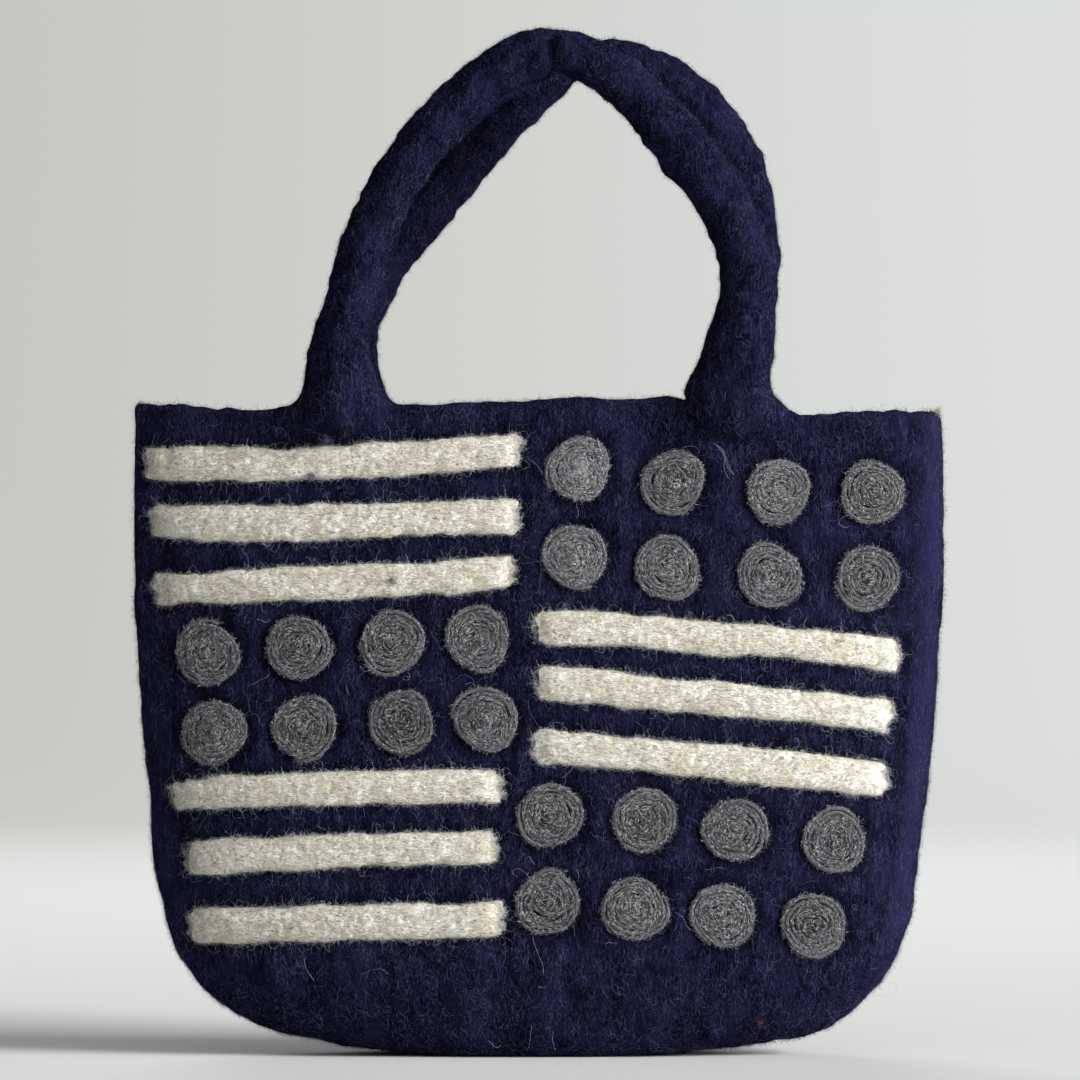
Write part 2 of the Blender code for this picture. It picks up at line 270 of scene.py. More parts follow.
def vertex_normals(verts, tris):
    """Each point's normal, from the triangles round it weighted by their areas."""
    a, b, c = verts[tris[:, 0]], verts[tris[:, 1]], verts[tris[:, 2]]
    across = np.cross(b - a, c - a)
    total = np.zeros_like(verts)
    for corner in range(3):
        for axis in range(3):
            total[:, axis] += np.bincount(tris[:, corner], across[:, axis], len(verts))
    return unit(total)


# --- materials


class Nodes:
    """The node tree of a material or a world under construction."""

    def __init__(self, owner):
        owner.use_nodes = True
        self.tree = owner.node_tree

    def node(self, kind, inputs=None, **settings):
        made = self.tree.nodes.new(kind)
        for key, value in settings.items():
            setattr(made, key, value)
        for key, value in (inputs or {}).items():
            self.put(value, made.inputs[key])
        return made

    def put(self, value, socket):
        if isinstance(value, bpy.types.NodeSocket):
            self.tree.links.new(value, socket)
        else:
            socket.default_value = value

    def math(self, operation, a, b=0.0):
        return self.node("ShaderNodeMath", {0: a, 1: b}, operation=operation).outputs[0]

    def plus(self, a, b):
        return self.math("ADD", a, b)

    def times(self, a, b):
        return self.math("MULTIPLY", a, b)

    def remap(self, value, low, high, to_low=0.0, to_high=1.0, kind="SMOOTHSTEP"):
        made = self.node("ShaderNodeMapRange", {
            "Value": value, "From Min": low, "From Max": high, "To Min": to_low, "To Max": to_high,
        }, interpolation_type=kind)
        return made.outputs["Result"]

    def blend(self, share, a, b):
        made = self.node("ShaderNodeMix", data_type="RGBA")
        self.put(share, made.inputs["Factor"])
        for key, value in ((6, a), (7, b)):
            self.put((*value, 1) if isinstance(value, tuple) else value, made.inputs[key])
        return made.outputs[2]

    def attribute(self, name, output="Fac"):
        return self.node("ShaderNodeAttribute", attribute_name=name).outputs[output]


class Shade(Nodes):
    """A matte material under construction. Its patterns are drawn on the mesh attribute called `pattern`."""

    def __init__(self, name, pattern=None, roughness=1.0):
        self.material = bpy.data.materials.new(name)
        super().__init__(self.material)
        self.inputs = self.tree.nodes["Principled BSDF"].inputs
        self.inputs["Roughness"].default_value = roughness
        self.inputs["Specular IOR Level"].default_value = 0.0
        self.place = self.attribute(pattern, "Vector") if pattern else None

    def noise(self, scale, detail=2.0, distortion=0.0, stretch=(1, 1, 1), shift=0.0):
        spot = self.node("ShaderNodeVectorMath", {0: self.place, 1: stretch}, operation="MULTIPLY")
        moved = self.node("ShaderNodeVectorMath", {0: spot.outputs[0], 1: (shift, shift * 0.7, shift * 1.3)})
        made = self.node("ShaderNodeTexNoise", {
            "Vector": moved.outputs[0], "Scale": scale, "Detail": detail, "Distortion": distortion,
        })
        return made.outputs["Fac"]

    def hairs(self, scale, width, stretch, shift, bend, cover):
        """Thin wandering lines, like loose fibres: where a noise crosses its middle, broken up by another."""
        ridge = self.math("ABSOLUTE", self.math("SUBTRACT", self.noise(scale, 1.0, bend, stretch, shift), 0.5))
        line = self.remap(ridge, 0.0, width, 1.0, 0.0)
        gaps = self.noise(scale * 0.6, 1.0, 0.0, (1, 1, 1), shift + 3.7)
        return self.times(line, self.remap(gaps, 1 - cover - 0.1, 1 - cover + 0.1))

    def finish(self, colour, height, distance, strength):
        """The finished material: its colour, and a bump of the given height field."""
        self.put(colour, self.inputs["Base Color"])
        bump = self.node("ShaderNodeBump", {"Height": height, "Distance": distance, "Strength": strength})
        self.put(bump.outputs[0], self.inputs["Normal"])
        return self.material


def plain(name, colour):
    """One even colour, for fibres that are too thin to show a pattern."""
    shade = Shade(name, roughness=0.9)
    shade.put((*colour, 1), shade.inputs["Base Color"])
    return shade.material


def felt_material():
    """Wet-felted navy wool: clouded, streaked by matted fibres that mostly run up and down.

    The "roll" attribute marks the bag's rolled side edges, where the felt is smooth and a little lighter:
    partly its smoother felt and partly painted light, stronger on the right edge that faces the window.
    "close" marks the felt beside the trim, which is darkened there as painted shade of the trim.
    """
    m = Shade("navy_felt", "rest")
    cloud = m.noise(60, 3.0, 0.5)
    mottle = m.noise(300, 3.0, 0.6, (1, 1, 0.45), 5.0)
    streak = m.noise(1250, 3.0, 1.0, (1, 1, 0.20), 23.0)
    matted = m.noise(900, 3.0, 1.8, (1, 1, 0.5), 31.0)
    fine = m.hairs(1150, 0.055, (1, 1, 0.26), 1.0, 1.4, 0.60)
    cross = m.hairs(820, 0.040, (0.8, 1, 0.7), 7.0, 1.8, 0.40)
    roll, close = m.attribute("roll"), m.attribute("close")
    fibre = m.plus(m.times(streak, 0.65), m.times(matted, 0.35))
    colour = m.blend(m.remap(fibre, 0.42, 0.56), NAVY_BLACK, NAVY)
    colour = m.blend(m.remap(fibre, 0.52, 0.64, 0.0, 0.95), colour, NAVY_LIGHT)
    colour = m.blend(m.remap(mottle, 0.60, 0.38, 0.0, 0.65), colour, NAVY_BLACK)
    colour = m.blend(m.remap(cloud, 0.40, 0.68, 0.0, 0.40), colour, NAVY_CLOUD)
    # painted highlight on the rolled side edges, stronger on the right edge that faces the window, over the
    # smoother felt's own lighter tone
    colour = m.blend(m.times(roll, 0.42), colour, NAVY_ROLL_HIGHLIGHT)
    # painted shade: the felt beside the trim is darkened towards near-black
    colour = m.blend(m.times(close, 0.60), colour, NAVY_BLACK)
    colour = m.blend(m.times(m.math("MAXIMUM", fine, cross), 0.45), colour, NAVY_LIGHT)
    height = m.plus(m.times(mottle, 1.5), m.plus(fibre, m.times(fine, 0.4)))
    height = m.times(height, m.math("SUBTRACT", 1.0, m.times(roll, 0.4)))
    return m.finish(colour, height, 0.55 * MM, 0.9)


def wool_material():
    """Needle-felted undyed wool: fibres along the bar, beige clouds, and pits where needles went in, darkened
    as painted shade.

    The "edge" attribute is how far in from the bar's edge a point is, 0 to 1: there the wool thins out.
    """
    m = Shade("cream_wool", "rest")
    cloud = m.noise(125, 2.0, 0.9, (0.8, 1, 1), 2.0)
    tuft = m.noise(300, 2.0, 0.8, (0.8, 1, 1), 41.0)
    streak = m.noise(1350, 3.0, 1.0, (0.24, 1, 1), 9.0)
    finer = m.noise(2400, 2.0, 0.8, (0.22, 1, 1), 14.0)
    pit = m.noise(800, 1.0, 0.6, (0.55, 1, 1.1), 27.0)
    thin = m.plus(m.attribute("edge"), m.times(m.math("SUBTRACT", streak, 0.5), 1.3))
    colour = m.blend(m.remap(cloud, 0.42, 0.60), CREAM, CREAM_WARM)
    colour = m.blend(m.remap(tuft, 0.60, 0.38, 0.0, 0.62), colour, CREAM_TUFT)
    colour = m.blend(m.remap(streak, 0.35, 0.55, 0.64, 0.0), colour, CREAM_SHADE)
    colour = m.blend(m.remap(finer, 0.34, 0.54, 0.45, 0.0), colour, CREAM_SHADE)
    # painted shade in the needle pits; the bump does not sink them
    colour = m.blend(m.remap(pit, 0.640, 0.710, 0.0, 0.60), colour, CREAM_PIT_SHADE)
    colour = m.blend(m.remap(thin, -0.05, 0.42, 0.75, 0.0), colour, CREAM_EDGE)
    height = m.plus(m.plus(m.times(streak, 1.4), finer), m.times(tuft, 1.5))
    return m.finish(colour, height, 0.40 * MM, 0.8)


def yarn_material():
    """Heather grey yarn: light and dark strands running along it. "strand" holds (along, around, tone)."""
    m = Shade("grey_yarn", "strand")
    streak = m.noise(1.0, 2.0, 0.8, (520, 1.9, 1))
    finer = m.noise(1.0, 2.0, 0.5, (900, 4.5, 1), 20.0)
    colour = m.blend(m.remap(streak, 0.36, 0.60), GREY_DARK, GREY)
    colour = m.blend(m.remap(finer, 0.48, 0.64, 0.0, 0.90), colour, GREY_LIGHT)
    return m.finish(colour, m.plus(streak, finer), 0.30 * MM, 0.8)


FELT = felt_material()
WOOL = wool_material()
YARN = yarn_material()
NAVY_HAIRS = [
    plain("navy_hair_deep", (0.0040, 0.0038, 0.0098)), plain("navy_hair", (0.0155, 0.0153, 0.042)),
    plain("navy_hair_light", (0.053, 0.053, 0.128)), plain("blue_grey_hair", (0.135, 0.135, 0.218)),
]
CREAM_HAIRS = [
    plain("cream_hair", (0.94, 0.935, 0.88)), plain("cream_hair_warm", (0.82, 0.76, 0.63)),
    plain("cream_hair_shade", (0.38, 0.375, 0.365)), NAVY_HAIRS[1],
    plain("white_hair", (0.80, 0.81, 0.86)),
]
GREY_HAIRS = [
    plain("grey_hair_dark", (0.016, 0.016, 0.018)), plain("grey_hair", (0.140, 0.139, 0.147)),
    plain("grey_hair_light", (0.400, 0.397, 0.416)), plain("grey_hair_pale", (0.740, 0.737, 0.760)),
]
STRAY_HAIRS = [
    plain("stray_hair_blue", (0.220, 0.226, 0.420)),
    plain("stray_hair_pale", (0.520, 0.535, 0.740)),
]
GREEN_SPECK = plain("green_speck", (0.030, 0.140, 0.060))
RUST_SPECK = plain("rust_speck", (0.220, 0.060, 0.040))
STRAW_SPECK = plain("straw_speck", (0.560, 0.480, 0.350))


# --- fibres


def spindles(name, lines, radii, ups, picks, materials):
    """Thin closed fibres, three-sided and pointed at both ends, round the given centre lines."""
    count, stations = lines.shape[:2]
    rings, sides, lowest = stations - 2, 3, 0.05 * MM
    tangents = unit(lines[:, 2:] - lines[:, :-2])
    across = unit(np.cross(tangents, ups[:, None] + 1e-6))
    rise = np.cross(tangents, across)
    turns = 2 * math.pi * np.arange(sides) / sides
    spread = across[:, :, None] * np.cos(turns)[:, None] + rise[:, :, None] * np.sin(turns)[:, None]
    loops = lines[:, 1:-1, None] + spread * radii[:, None, None, None]
    verts = np.concatenate([lines[:, :1], loops.reshape(count, rings * sides, 3), lines[:, -1:]], axis=1)
    verts[..., 2] = np.maximum(verts[..., 2], lowest)
    pattern = []
    last = 1 + sides * (rings - 1)
    for k in range(sides):
        j = (k + 1) % sides
        pattern.append((0, 1 + j, 1 + k))
        for a in range(1, last, sides):
            b = a + sides
            pattern += [(a + k, a + j, b + j), (a + k, b + j, b + k)]
        pattern.append((last + k, last + j, last + sides))
    pattern = np.array(pattern)
    points_each = 2 + sides * rings
    tris = (pattern[None] + (np.arange(count) * points_each)[:, None, None]).reshape(-1, 3)
    return mesh_object(name, verts.reshape(-1, 3), tris, materials, np.repeat(picks, len(pattern)))


def wisps(roots, along, ups, length, arch, sway, rng, stations, turns=0.7):
    """Centre lines of loose fibres: each runs along the surface, arches off it and sways sideways.

    Length, arch and sway are ranges, the first two in mm. The length may also be each fibre's own, in metres.
    """
    count = len(roots)
    if isinstance(length, tuple):
        length = rng.uniform(*length, count) * MM
    arch = rng.uniform(*arch, count) * MM
    sway = rng.uniform(*sway, count)
    t = np.linspace(0, 1, stations)[None, :, None]
    side = unit(np.cross(ups, along))
    phase = rng.uniform(0, 2 * math.pi, count)[:, None, None]
    swing = np.sin(phase + 2 * math.pi * turns * t) - np.sin(phase)
    reach = length[:, None, None]
    lines = roots[:, None] + along[:, None] * reach * t
    lines = lines + ups[:, None] * arch[:, None, None] * np.sin(math.pi * t * 0.85)
    return lines + side[:, None] * swing * reach * sway[:, None, None]


def scatter(verts, tris, normals, chosen, count, rng):
    """Random places on the chosen triangles: points and their normals."""
    corners = verts[tris[chosen]]
    sides = corners[:, 1:] - corners[:, :1]
    area = np.linalg.norm(np.cross(sides[:, 0], sides[:, 1]), axis=1)
    picked = rng.choice(len(chosen), count, p=area / area.sum())
    a, b = rng.random((2, count))
    flip = a + b > 1
    a, b = np.where(flip, 1 - a, a), np.where(flip, 1 - b, b)
    share = np.stack([1 - a - b, a, b], axis=1)[:, :, None]
    return (corners[picked] * share).sum(1), unit((normals[tris[chosen[picked]]] * share).sum(1))


HAIR_DEPTH = 0.12 * MM  # how deep in the felt a hair is rooted
TRIM_SHADE = 6 * MM  # how far the trim shades the felt beside it

# Kinds of loose wool: stations, length, radius, tilt off the surface, arch, sway, how upright, tones' shares.
# Lengths, radii and arches are in mm.
HAIR_KINDS = {
    "matted": (3, (1.0, 2.9), (.048, .084), (-.02, .08), (.03, .22), (.02, .12), 3.0, (.36, .24, .28, .12)),
    "loose": (5, (2.4, 6.8), (.030, .054), (-.02, .12), (.15, .60), (.05, .22), 2.4, (.16, .26, .38, .20)),
    "short": (3, (0.8, 2.3), (.042, .072), (-.02, .08), (.03, .20), (.02, .12), 1.2, (.34, .27, .29, .10)),
    "curly": (5, (1.4, 3.4), (.028, .046), (0, .30), (.15, .50), (.10, .30), 1.0, (.20, .30, .36, .14)),
    "fuzz": (3, (0.7, 2.1), (.026, .046), (.40, 2.20), (-.20, .20), (.04, .20), 1.0, (.34, .34, .24, .08)),
    "rim": (4, (0.8, 2.6), (.015, .032), (.30, 1.80), (-.40, .40), (.05, .30), 0.6, (.14, .36, .36, .14)),
    "halo": (4, (1.0, 3.4), (.018, .035), (.50, 2.20), (-.50, .50), (.05, .25), 1.0, (.34, .36, .24, .06)),
}


def surface_hair(name, source, chosen, kind, count, seed, keep_root=None):
    """Loose wool on felt: hair that lies along it, mainly up and down, or fuzz that stands off it."""
    rng = np.random.default_rng(seed)
    stations, length, radius, tilt, arch, sway, upright, shares = HAIR_KINDS[kind]
    roots, ups = scatter(*source, chosen, count, rng)
    if keep_root is not None:
        kept = keep_root(roots, ups, rng)
        roots, ups = roots[kept], ups[kept]
        count = len(roots)
    grain = rng.normal(size=(count, 3)) * np.array([1, 1, upright])
    along = unit(grain - ups * (grain * ups).sum(1, keepdims=True))
    along = unit(along + ups * rng.uniform(*tilt, (count, 1)))
    lines = wisps(roots - ups * HAIR_DEPTH, along, ups, length, arch, sway, rng, stations)
    lighter = (0.09 if keep_root is None else 0.16) * ripple(roots, 9 * MM, 77, (1, 1, 0.4))
    # painted shade: near the trim, the front's hairs are picked from the darker tones
    if keep_root is not None:
        lighter = lighter - 0.30 * smooth_step(1 - trim_distance(roots) / TRIM_SHADE)
    picks = np.searchsorted(np.cumsum(shares), np.clip(rng.random(count) + lighter, 0, 0.999))
    return spindles(name, lines, rng.uniform(*radius, count) * MM, ups, picks, NAVY_HAIRS)


# --- felt skin


HANDLES = {
    name: next(j for j in frame["joints"] if j["child"] == name) for name in ("front_handle", "rear_handle")
}
HINGE_Z = HANDLES["front_handle"]["pos_m"][2]
RIM_Z = HINGE_Z - 11.5 * MM
ROLL_WIDTH = 14 * MM  # of the rolled side edges, seen square on to the face
MIDDLE_Y = (HANDLES["front_handle"]["pos_m"][1] + HANDLES["rear_handle"]["pos_m"][1]) / 2


def solid_points(name):
    """The points of a CAD solid."""
    return np.array([v.co for v in frame["nodes"][name].data.vertices])


def foot_centres():
    """(x, y) of each handle foot, from the lowest points of the handle's solid."""
    places = []
    for name in HANDLES:
        verts = solid_points(name)
        low = verts[verts[:, 2] < HINGE_Z]
        for side in (low[low[:, 0] < 0], low[low[:, 0] > 0]):
            middle = (side.min(0) + side.max(0)) / 2
            places.append((middle[0], middle[1]))
    return places


FEET = foot_centres()

# Where the felt flares at each handle's root, in mm: how far above the rim, and half the size along each axis
ROOT_FLARES = ((2, (18.0, 12.2, 17.0)), (-3, (20.5, 9.5, 12.0)))


def ellipsoid(centre, half_size):
    """Points and faces of a closed egg shape."""
    x, y, z = centre
    half_x, half_y, half_z = half_size
    rings, sides = 12, 20
    tilts = [math.pi * i / rings for i in range(1, rings)]
    turns = [2 * math.pi * k / sides for k in range(sides)]
    verts = [(x, y, z - half_z)]
    verts += [(x + half_x * (math.sin(tilt) * math.cos(turn)), y + half_y * (math.sin(tilt) * math.sin(turn)),
               z - half_z * math.cos(tilt)) for tilt in tilts for turn in turns]
    verts.append((x, y, z + half_z))
    index = 1 + np.arange((rings - 1) * sides).reshape(rings - 1, sides)
    ahead = np.roll(index, -1, axis=1)
    faces = grid_quads(index, ahead).tolist()
    return verts, [*caps(index[0], ahead[0], 0), *faces, *caps(ahead[-1], index[-1], len(verts) - 1)]


def felted_together():
    """The pouch and both handles grown into one skin, as felting does, with a flare at each root."""
    verts, faces = [], []

    def add(more_verts, more_faces):
        start = len(verts)
        verts.extend(more_verts)
        faces.extend(tuple(start + i for i in face) for face in more_faces)

    for name in ("felt_body", *HANDLES):
        data = frame["nodes"][name].data
        add([tuple(v.co) for v in data.vertices], [p.vertices for p in data.polygons])
    for x, y in FEET:
        for centre_z, half in ROOT_FLARES:
            add(*ellipsoid((x, y, RIM_Z + centre_z * MM), [h * MM for h in half]))
    data = bpy.data.meshes.new("felt_source")
    data.from_pydata(verts, [], faces)
    source = placed("felt_source", data)
    remesh = source.modifiers.new("grow", "REMESH")
    remesh.mode = "VOXEL"
    remesh.voxel_size = VOXEL
    remesh.adaptivity = 0
    depsgraph = bpy.context.evaluated_depsgraph_get()
    grown = bpy.data.meshes.new_from_object(source.evaluated_get(depsgraph))
    bpy.data.objects.remove(source)
    return arrays_of(grown)


class Bar:
    """Where a wool bar lies on the face: its middle line, its ends and its height."""

    def __init__(self, name):
        verts = solid_points(name)
        self.name = name
        self.block, number = name.rsplit("_", 1)
        self.slope, self.level = np.polyfit(verts[:, 0], verts[:, 2], 1)
        self.left, self.right = verts[:, 0].min(), verts[:, 0].max()
        low, middle, high, wider, longer = (value * MM for value in BAR_SHAPES[self.block][int(number) - 1])
        self.right += longer
        self.bend = (low, 2 * middle - (low + high) / 2, high)
        self.half = np.abs(verts[:, 2] - self.slope * verts[:, 0] - self.level).max() + wider / 2

    def middle(self, x):
        """The bar's middle line, bent in a curve through its two ends and its middle."""
        u = np.clip((x - self.left) / (self.right - self.left), 0, 1)
        a, b, c = self.bend
        return self.slope * x + self.level + a * (1 - u) ** 2 + 2 * b * u * (1 - u) + c * u ** 2

    def distance(self, x, z):
        """How far points are outside the bar's outline, negative inside it."""
        out_x = np.maximum(self.left - x, x - self.right)
        out_z = np.abs(z - self.middle(x)) - self.half
        outside = np.hypot(np.maximum(out_x, 0), np.maximum(out_z, 0))
        return outside + np.minimum(np.maximum(out_x, out_z), 0)


class Coil:
    """Where a disc of coiled yarn lies on the face."""

    def __init__(self, name):
        low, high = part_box(name)
        self.name = name
        self.block, number = name.rsplit("_", 1)
        move_x, move_z = COIL_MOVES[self.block].get(int(number), (0, 0))
        self.x, self.z = (low.x + high.x) / 2 + move_x * MM, (low.z + high.z) / 2 + move_z * MM
        self.radius = (high.z - low.z) / 2 + 0.3 * MM
        self.tone = COIL_TONES[self.block][int(number) - 1]

    def distance(self, x, z):
        """How far points are outside the disc's outline, negative inside it."""
        return np.hypot(x - self.x, z - self.z) - self.radius


BARS = [Bar(name) for name in sorted(frame["nodes"]) if "_bar_" in name]
COILS = [Coil(name) for name in sorted(frame["nodes"]) if "_coil_" in name]
TRIM = [*BARS, *COILS]


def settled(verts):
    """The felt pulled out of its first shape, place by place."""
    x, y, z = verts.T
    above = smooth_step((z - RIM_Z + 2 * MM) / (6 * MM))
    front = y < MIDDLE_Y
    share = {"pouch": 1, "handles": above, "front_handle": above * front, "rear_handle": above * ~front}
    moved = verts.copy()
    for part, pulls in PULLS.items():
        for pull_x, pull_z, reach, move_x, move_z in pulls:
            weight = hump(np.hypot(x - pull_x * MM, z - pull_z * MM), 0, reach * MM) * share[part]
            moved[:, 0] += weight * move_x * MM
            moved[:, 2] += weight * move_z * MM
    return moved


def press_trim(verts, normals):
    """Felt is pressed in under the trim, and further in a narrow channel round it."""
    under, beside, channel_width, farthest = 0.55 * MM, 0.95 * MM, 4.2 * MM, 14 * MM
    x, _, z = verts.T
    push = np.zeros(len(verts))
    face = smooth_step((-normals[:, 1] - 0.15) / 0.4)
    for piece in TRIM:
        gap = piece.distance(x, z)
        near = gap < farthest
        inside = smooth_step(-gap[near] / (1.5 * MM) + 0.5)
        channel = hump(np.maximum(gap[near], 0), 0, channel_width)
        push[near] = np.maximum(push[near], inside * under + channel * beside)
    return verts - normals * (push * face)[:, None]


def side_reach(verts):
    """How far out the bag's side is at each of a few heights: (heights, reaches)."""
    heights = np.arange(2, RIM_Z / MM + 4, 4) * MM
    reach = [np.abs(verts[np.abs(verts[:, 2] - height) < 3 * MM][:, 0]).max() for height in heights]
    return heights, reach


def side_inset(verts, reach):
    """How far in from the bag's side outline each place is, seen square on to the face."""
    return np.interp(verts[:, 2], *reach) - np.abs(verts[:, 0])


def rolled(verts, normals):
    """How much each place belongs to the rolled side edges, 0 to 1. It is weaker on the left edge, which is in
    shade, so
    the felt there is lightened less: painted light on the right edge and painted shade on the left.
    """
    x, _, z = verts.T
    band = smooth_step((ROLL_WIDTH - side_inset(verts, REACH)) / (4.5 * MM))
    band = band * (1 - 0.65 * smooth_step((np.abs(normals[:, 0]) - 0.86) / 0.12))
    # painted light and shade: the right edge, facing the window, is lightened fully and the shaded left edge
    # less
    lit_side_share = np.where(x > 0, 1.0, 0.45)
    above_base = smooth_step((z - 22 * MM) / (40 * MM))
    return band * lit_side_share * above_base * (np.abs(x) > 90 * MM)


def roll_edges(verts, normals, reach):
    """The side edges pushed out into a rounded roll with a shallow valley inside it, less so on the left."""
    x = verts[:, 0]
    inset = side_inset(verts, reach) / MM
    fuller = 1.4 * hump(inset, 6.5, 4.2) - 1.1 * hump(inset, 14.5, 3.2)
    at_side = smooth_step((np.abs(x) - 100 * MM) / (20 * MM))
    at_side = at_side * smooth_step((0.8 - np.abs(normals[:, 2])) / 0.5)
    at_side = at_side * np.where(x > 0, 1.0, 0.25)
    return verts + normals * (fuller * at_side * MM)[:, None]


def roughened(verts, normals, handle):
    """Lumps and furrows of hand-felted wool: long furrows down the pouch, a ropy surface on the handles."""
    lump = 0.26 * ripple(verts, 30 * MM, 3) + 0.14 * ripple(verts, 11 * MM, 4)
    furrow = 0.15 * ripple(verts, 8 * MM, 5, (1, 1, 0.22)) + 0.26 * ripple(verts, 17 * MM, 8, (1, 1, 0.16))
    rope = 0.30 * ripple(verts, 17 * MM, 6) + 0.32 * ripple(verts, 7 * MM, 7)
    above_base = smooth_step(verts[:, 2] / (6 * MM))
    shift = ((1 - handle) * (lump + furrow) * above_base + handle * rope) * MM
    return verts + normals * shift[:, None]


def make_skin():
    """The felt's final surface, before it is parted into pouch and handles.

    Gives its points and triangles, its points and normals before it was roughened, and its side outline.
    """
    verts, tris, edges = felted_together()
    verts = smoothed(verts, edges, 10)
    root = np.zeros(len(verts))
    for x, y in FEET:
        across = np.hypot((verts[:, 0] - x) / (30 * MM), (verts[:, 1] - y) / (22 * MM))
        along = np.abs(verts[:, 2] - RIM_Z - 2 * MM) / (24 * MM)
        root = np.maximum(root, smooth_step(1.6 * (1 - np.maximum(across, along))))
    verts = smoothed(verts, edges, 22, root, keep_size=False)
    handle = smooth_step((verts[:, 2] - HINGE_Z) / (10 * MM))
    verts = settled(smoothed(verts, edges, 10, 0.3 + 0.7 * handle))
    reach = side_reach(verts)
    verts = roll_edges(verts, vertex_normals(verts, tris), reach)
    normals = vertex_normals(verts, tris)
    flat = (verts, normals)
    verts = crease_front_handle(roughened(verts, normals, handle), normals)
    verts = press_trim(verts, vertex_normals(verts, tris))
    verts[:, 2] = np.maximum(verts[:, 2], 0)
    return verts, tris, flat, reach


def crease_front_handle(verts, normals):
    """The front handle has kinked where it is folded at the top: a slanting crease with a bulge beside it."""
    x, y, z = verts.T
    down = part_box("front_handle")[1].z - z
    place = smooth_step((30 * MM - down) / (8 * MM)) * smooth_step((down - 1 * MM) / (5 * MM))
    lean = x - 4.5 * MM - down * 0.15
    kink = hump(lean, 0, 2.4 * MM) * 3.2 - hump(lean, 6 * MM, 4 * MM) * 1.9
    return verts - normals * (kink * place * (y < MIDDLE_Y) * MM)[:, None]


SKIN, SKIN_TRIS, FLAT, REACH = make_skin()
SKIN_NORMALS = vertex_normals(SKIN, SKIN_TRIS)


class Face:
    """The pouch's front as a height map, so that trim can be laid on it."""

    STEP = 1.0 * MM

    def __init__(self):
        low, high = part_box("felt_body")
        self.xs = np.arange(low.x, high.x + self.STEP, self.STEP)
        self.zs = np.arange(0.0, RIM_Z, self.STEP)
        tree = BVHTree.FromPolygons(FLAT[0].tolist(), SKIN_TRIS.tolist())
        self.depth = np.full((len(self.xs), len(self.zs)), MIDDLE_Y)
        start_y, ahead = low.y - 0.05, Vector((0, 1, 0))
        for i, x in enumerate(self.xs):
            for k, z in enumerate(self.zs):
                hit = tree.ray_cast(Vector((x, start_y, z)), ahead)[0]
                if hit is not None and hit.y < MIDDLE_Y:
                    self.depth[i, k] = hit.y

    def y(self, x, z):
        """The face's depth at each place, between the four grid points round it."""
        u = np.clip((x - self.xs[0]) / self.STEP, 0, len(self.xs) - 1.001)
        v = np.clip((z - self.zs[0]) / self.STEP, 0, len(self.zs) - 1.001)
        i, k = u.astype(int), v.astype(int)
        a, b = u - i, v - k
        d = self.depth
        return (d[i, k] * (1 - a) * (1 - b) + d[i + 1, k] * a * (1 - b)
                + d[i, k + 1] * (1 - a) * b + d[i + 1, k + 1] * a * b)

    def normal(self, x, z):
        s = 2 * self.STEP
        slope_x = (self.y(x + s, z) - self.y(x - s, z)) / (2 * s)
        slope_z = (self.y(x, z + s) - self.y(x, z - s)) / (2 * s)
        return unit(np.stack([slope_x, -np.ones_like(slope_x), slope_z], axis=-1))

    def lay(self, x, z, lift):
        """Points lifted off the face along its normal."""
        x, z = np.broadcast_arrays(np.asarray(x, float), np.asarray(z, float))
        points = np.stack([x, self.y(x, z), z], axis=-1)
        return points + self.normal(x, z) * np.broadcast_to(lift, x.shape)[..., None]


FACE = Face()
FACE_EDGE_Y = MIDDLE_Y - 4 * MM  # felt ahead of this belongs to the face

# The height above which the felt is parted off as the handles' felt
BLEND_FROM = RIM_Z + 4.5 * MM


def split_skin():
    """Which triangles belong to the pouch and to each handle."""
    middle = SKIN[SKIN_TRIS].mean(1)
    above, front = middle[:, 2] > BLEND_FROM, middle[:, 1] < MIDDLE_Y
    chosen = {"pouch": ~above, "front_handle": above & front, "rear_handle": above & ~front}
    return {part: np.flatnonzero(mask) for part, mask in chosen.items()}


PARTS = split_skin()


def follow(obj, part):
    """Pieces of the pouch ride on the pouch; a handle's pieces are left where they are, their placing baked
    into their points.
    """
    if part == "pouch":
        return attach(obj, "pouch")
    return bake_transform(obj)


def build_skin():
    """The felt itself, parted into pouch and handles, with what its material needs to know at each point."""
    for part, chosen in PARTS.items():
        used, where = np.unique(SKIN_TRIS[chosen], return_inverse=True)
        obj = mesh_object(f"{part}_felt", SKIN[used], where.reshape(-1, 3), [FELT])
        obj.data.normals_split_custom_set_from_vertices(SKIN_NORMALS[used].tolist())
        keep(obj, "rest", SKIN[used])
        if part == "pouch":
            keep(obj, "roll", rolled(FLAT[0][used], FLAT[1][used]))
            # painted shade beside the trim, read by the felt's material
            close = smooth_step(1 - trim_distance(SKIN[used]) / TRIM_SHADE)
            keep(obj, "close", close * (SKIN[used][:, 1] < FACE_EDGE_Y))
        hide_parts("felt_body" if part == "pouch" else part)
        follow(obj, part)


def trim_distance(points):
    """How far each point is from the nearest bar or coil, seen square on to the face."""
    x, _, z = points.T
    return np.min([piece.distance(x, z) for piece in TRIM], axis=0)


def clear_of_trim(roots, ups, rng):
    """Which roots to keep: none underneath the trim, and few close to it or on the rolled side edges."""
    gap = trim_distance(roots)
    chance = np.where(gap < 2.5 * MM, 0.6, 1.0) * (1 - 0.50 * rolled(roots, ups))
    return (gap > -0.6 * MM) & (rng.random(len(roots)) < chance) | (roots[:, 1] > FACE_EDGE_Y)


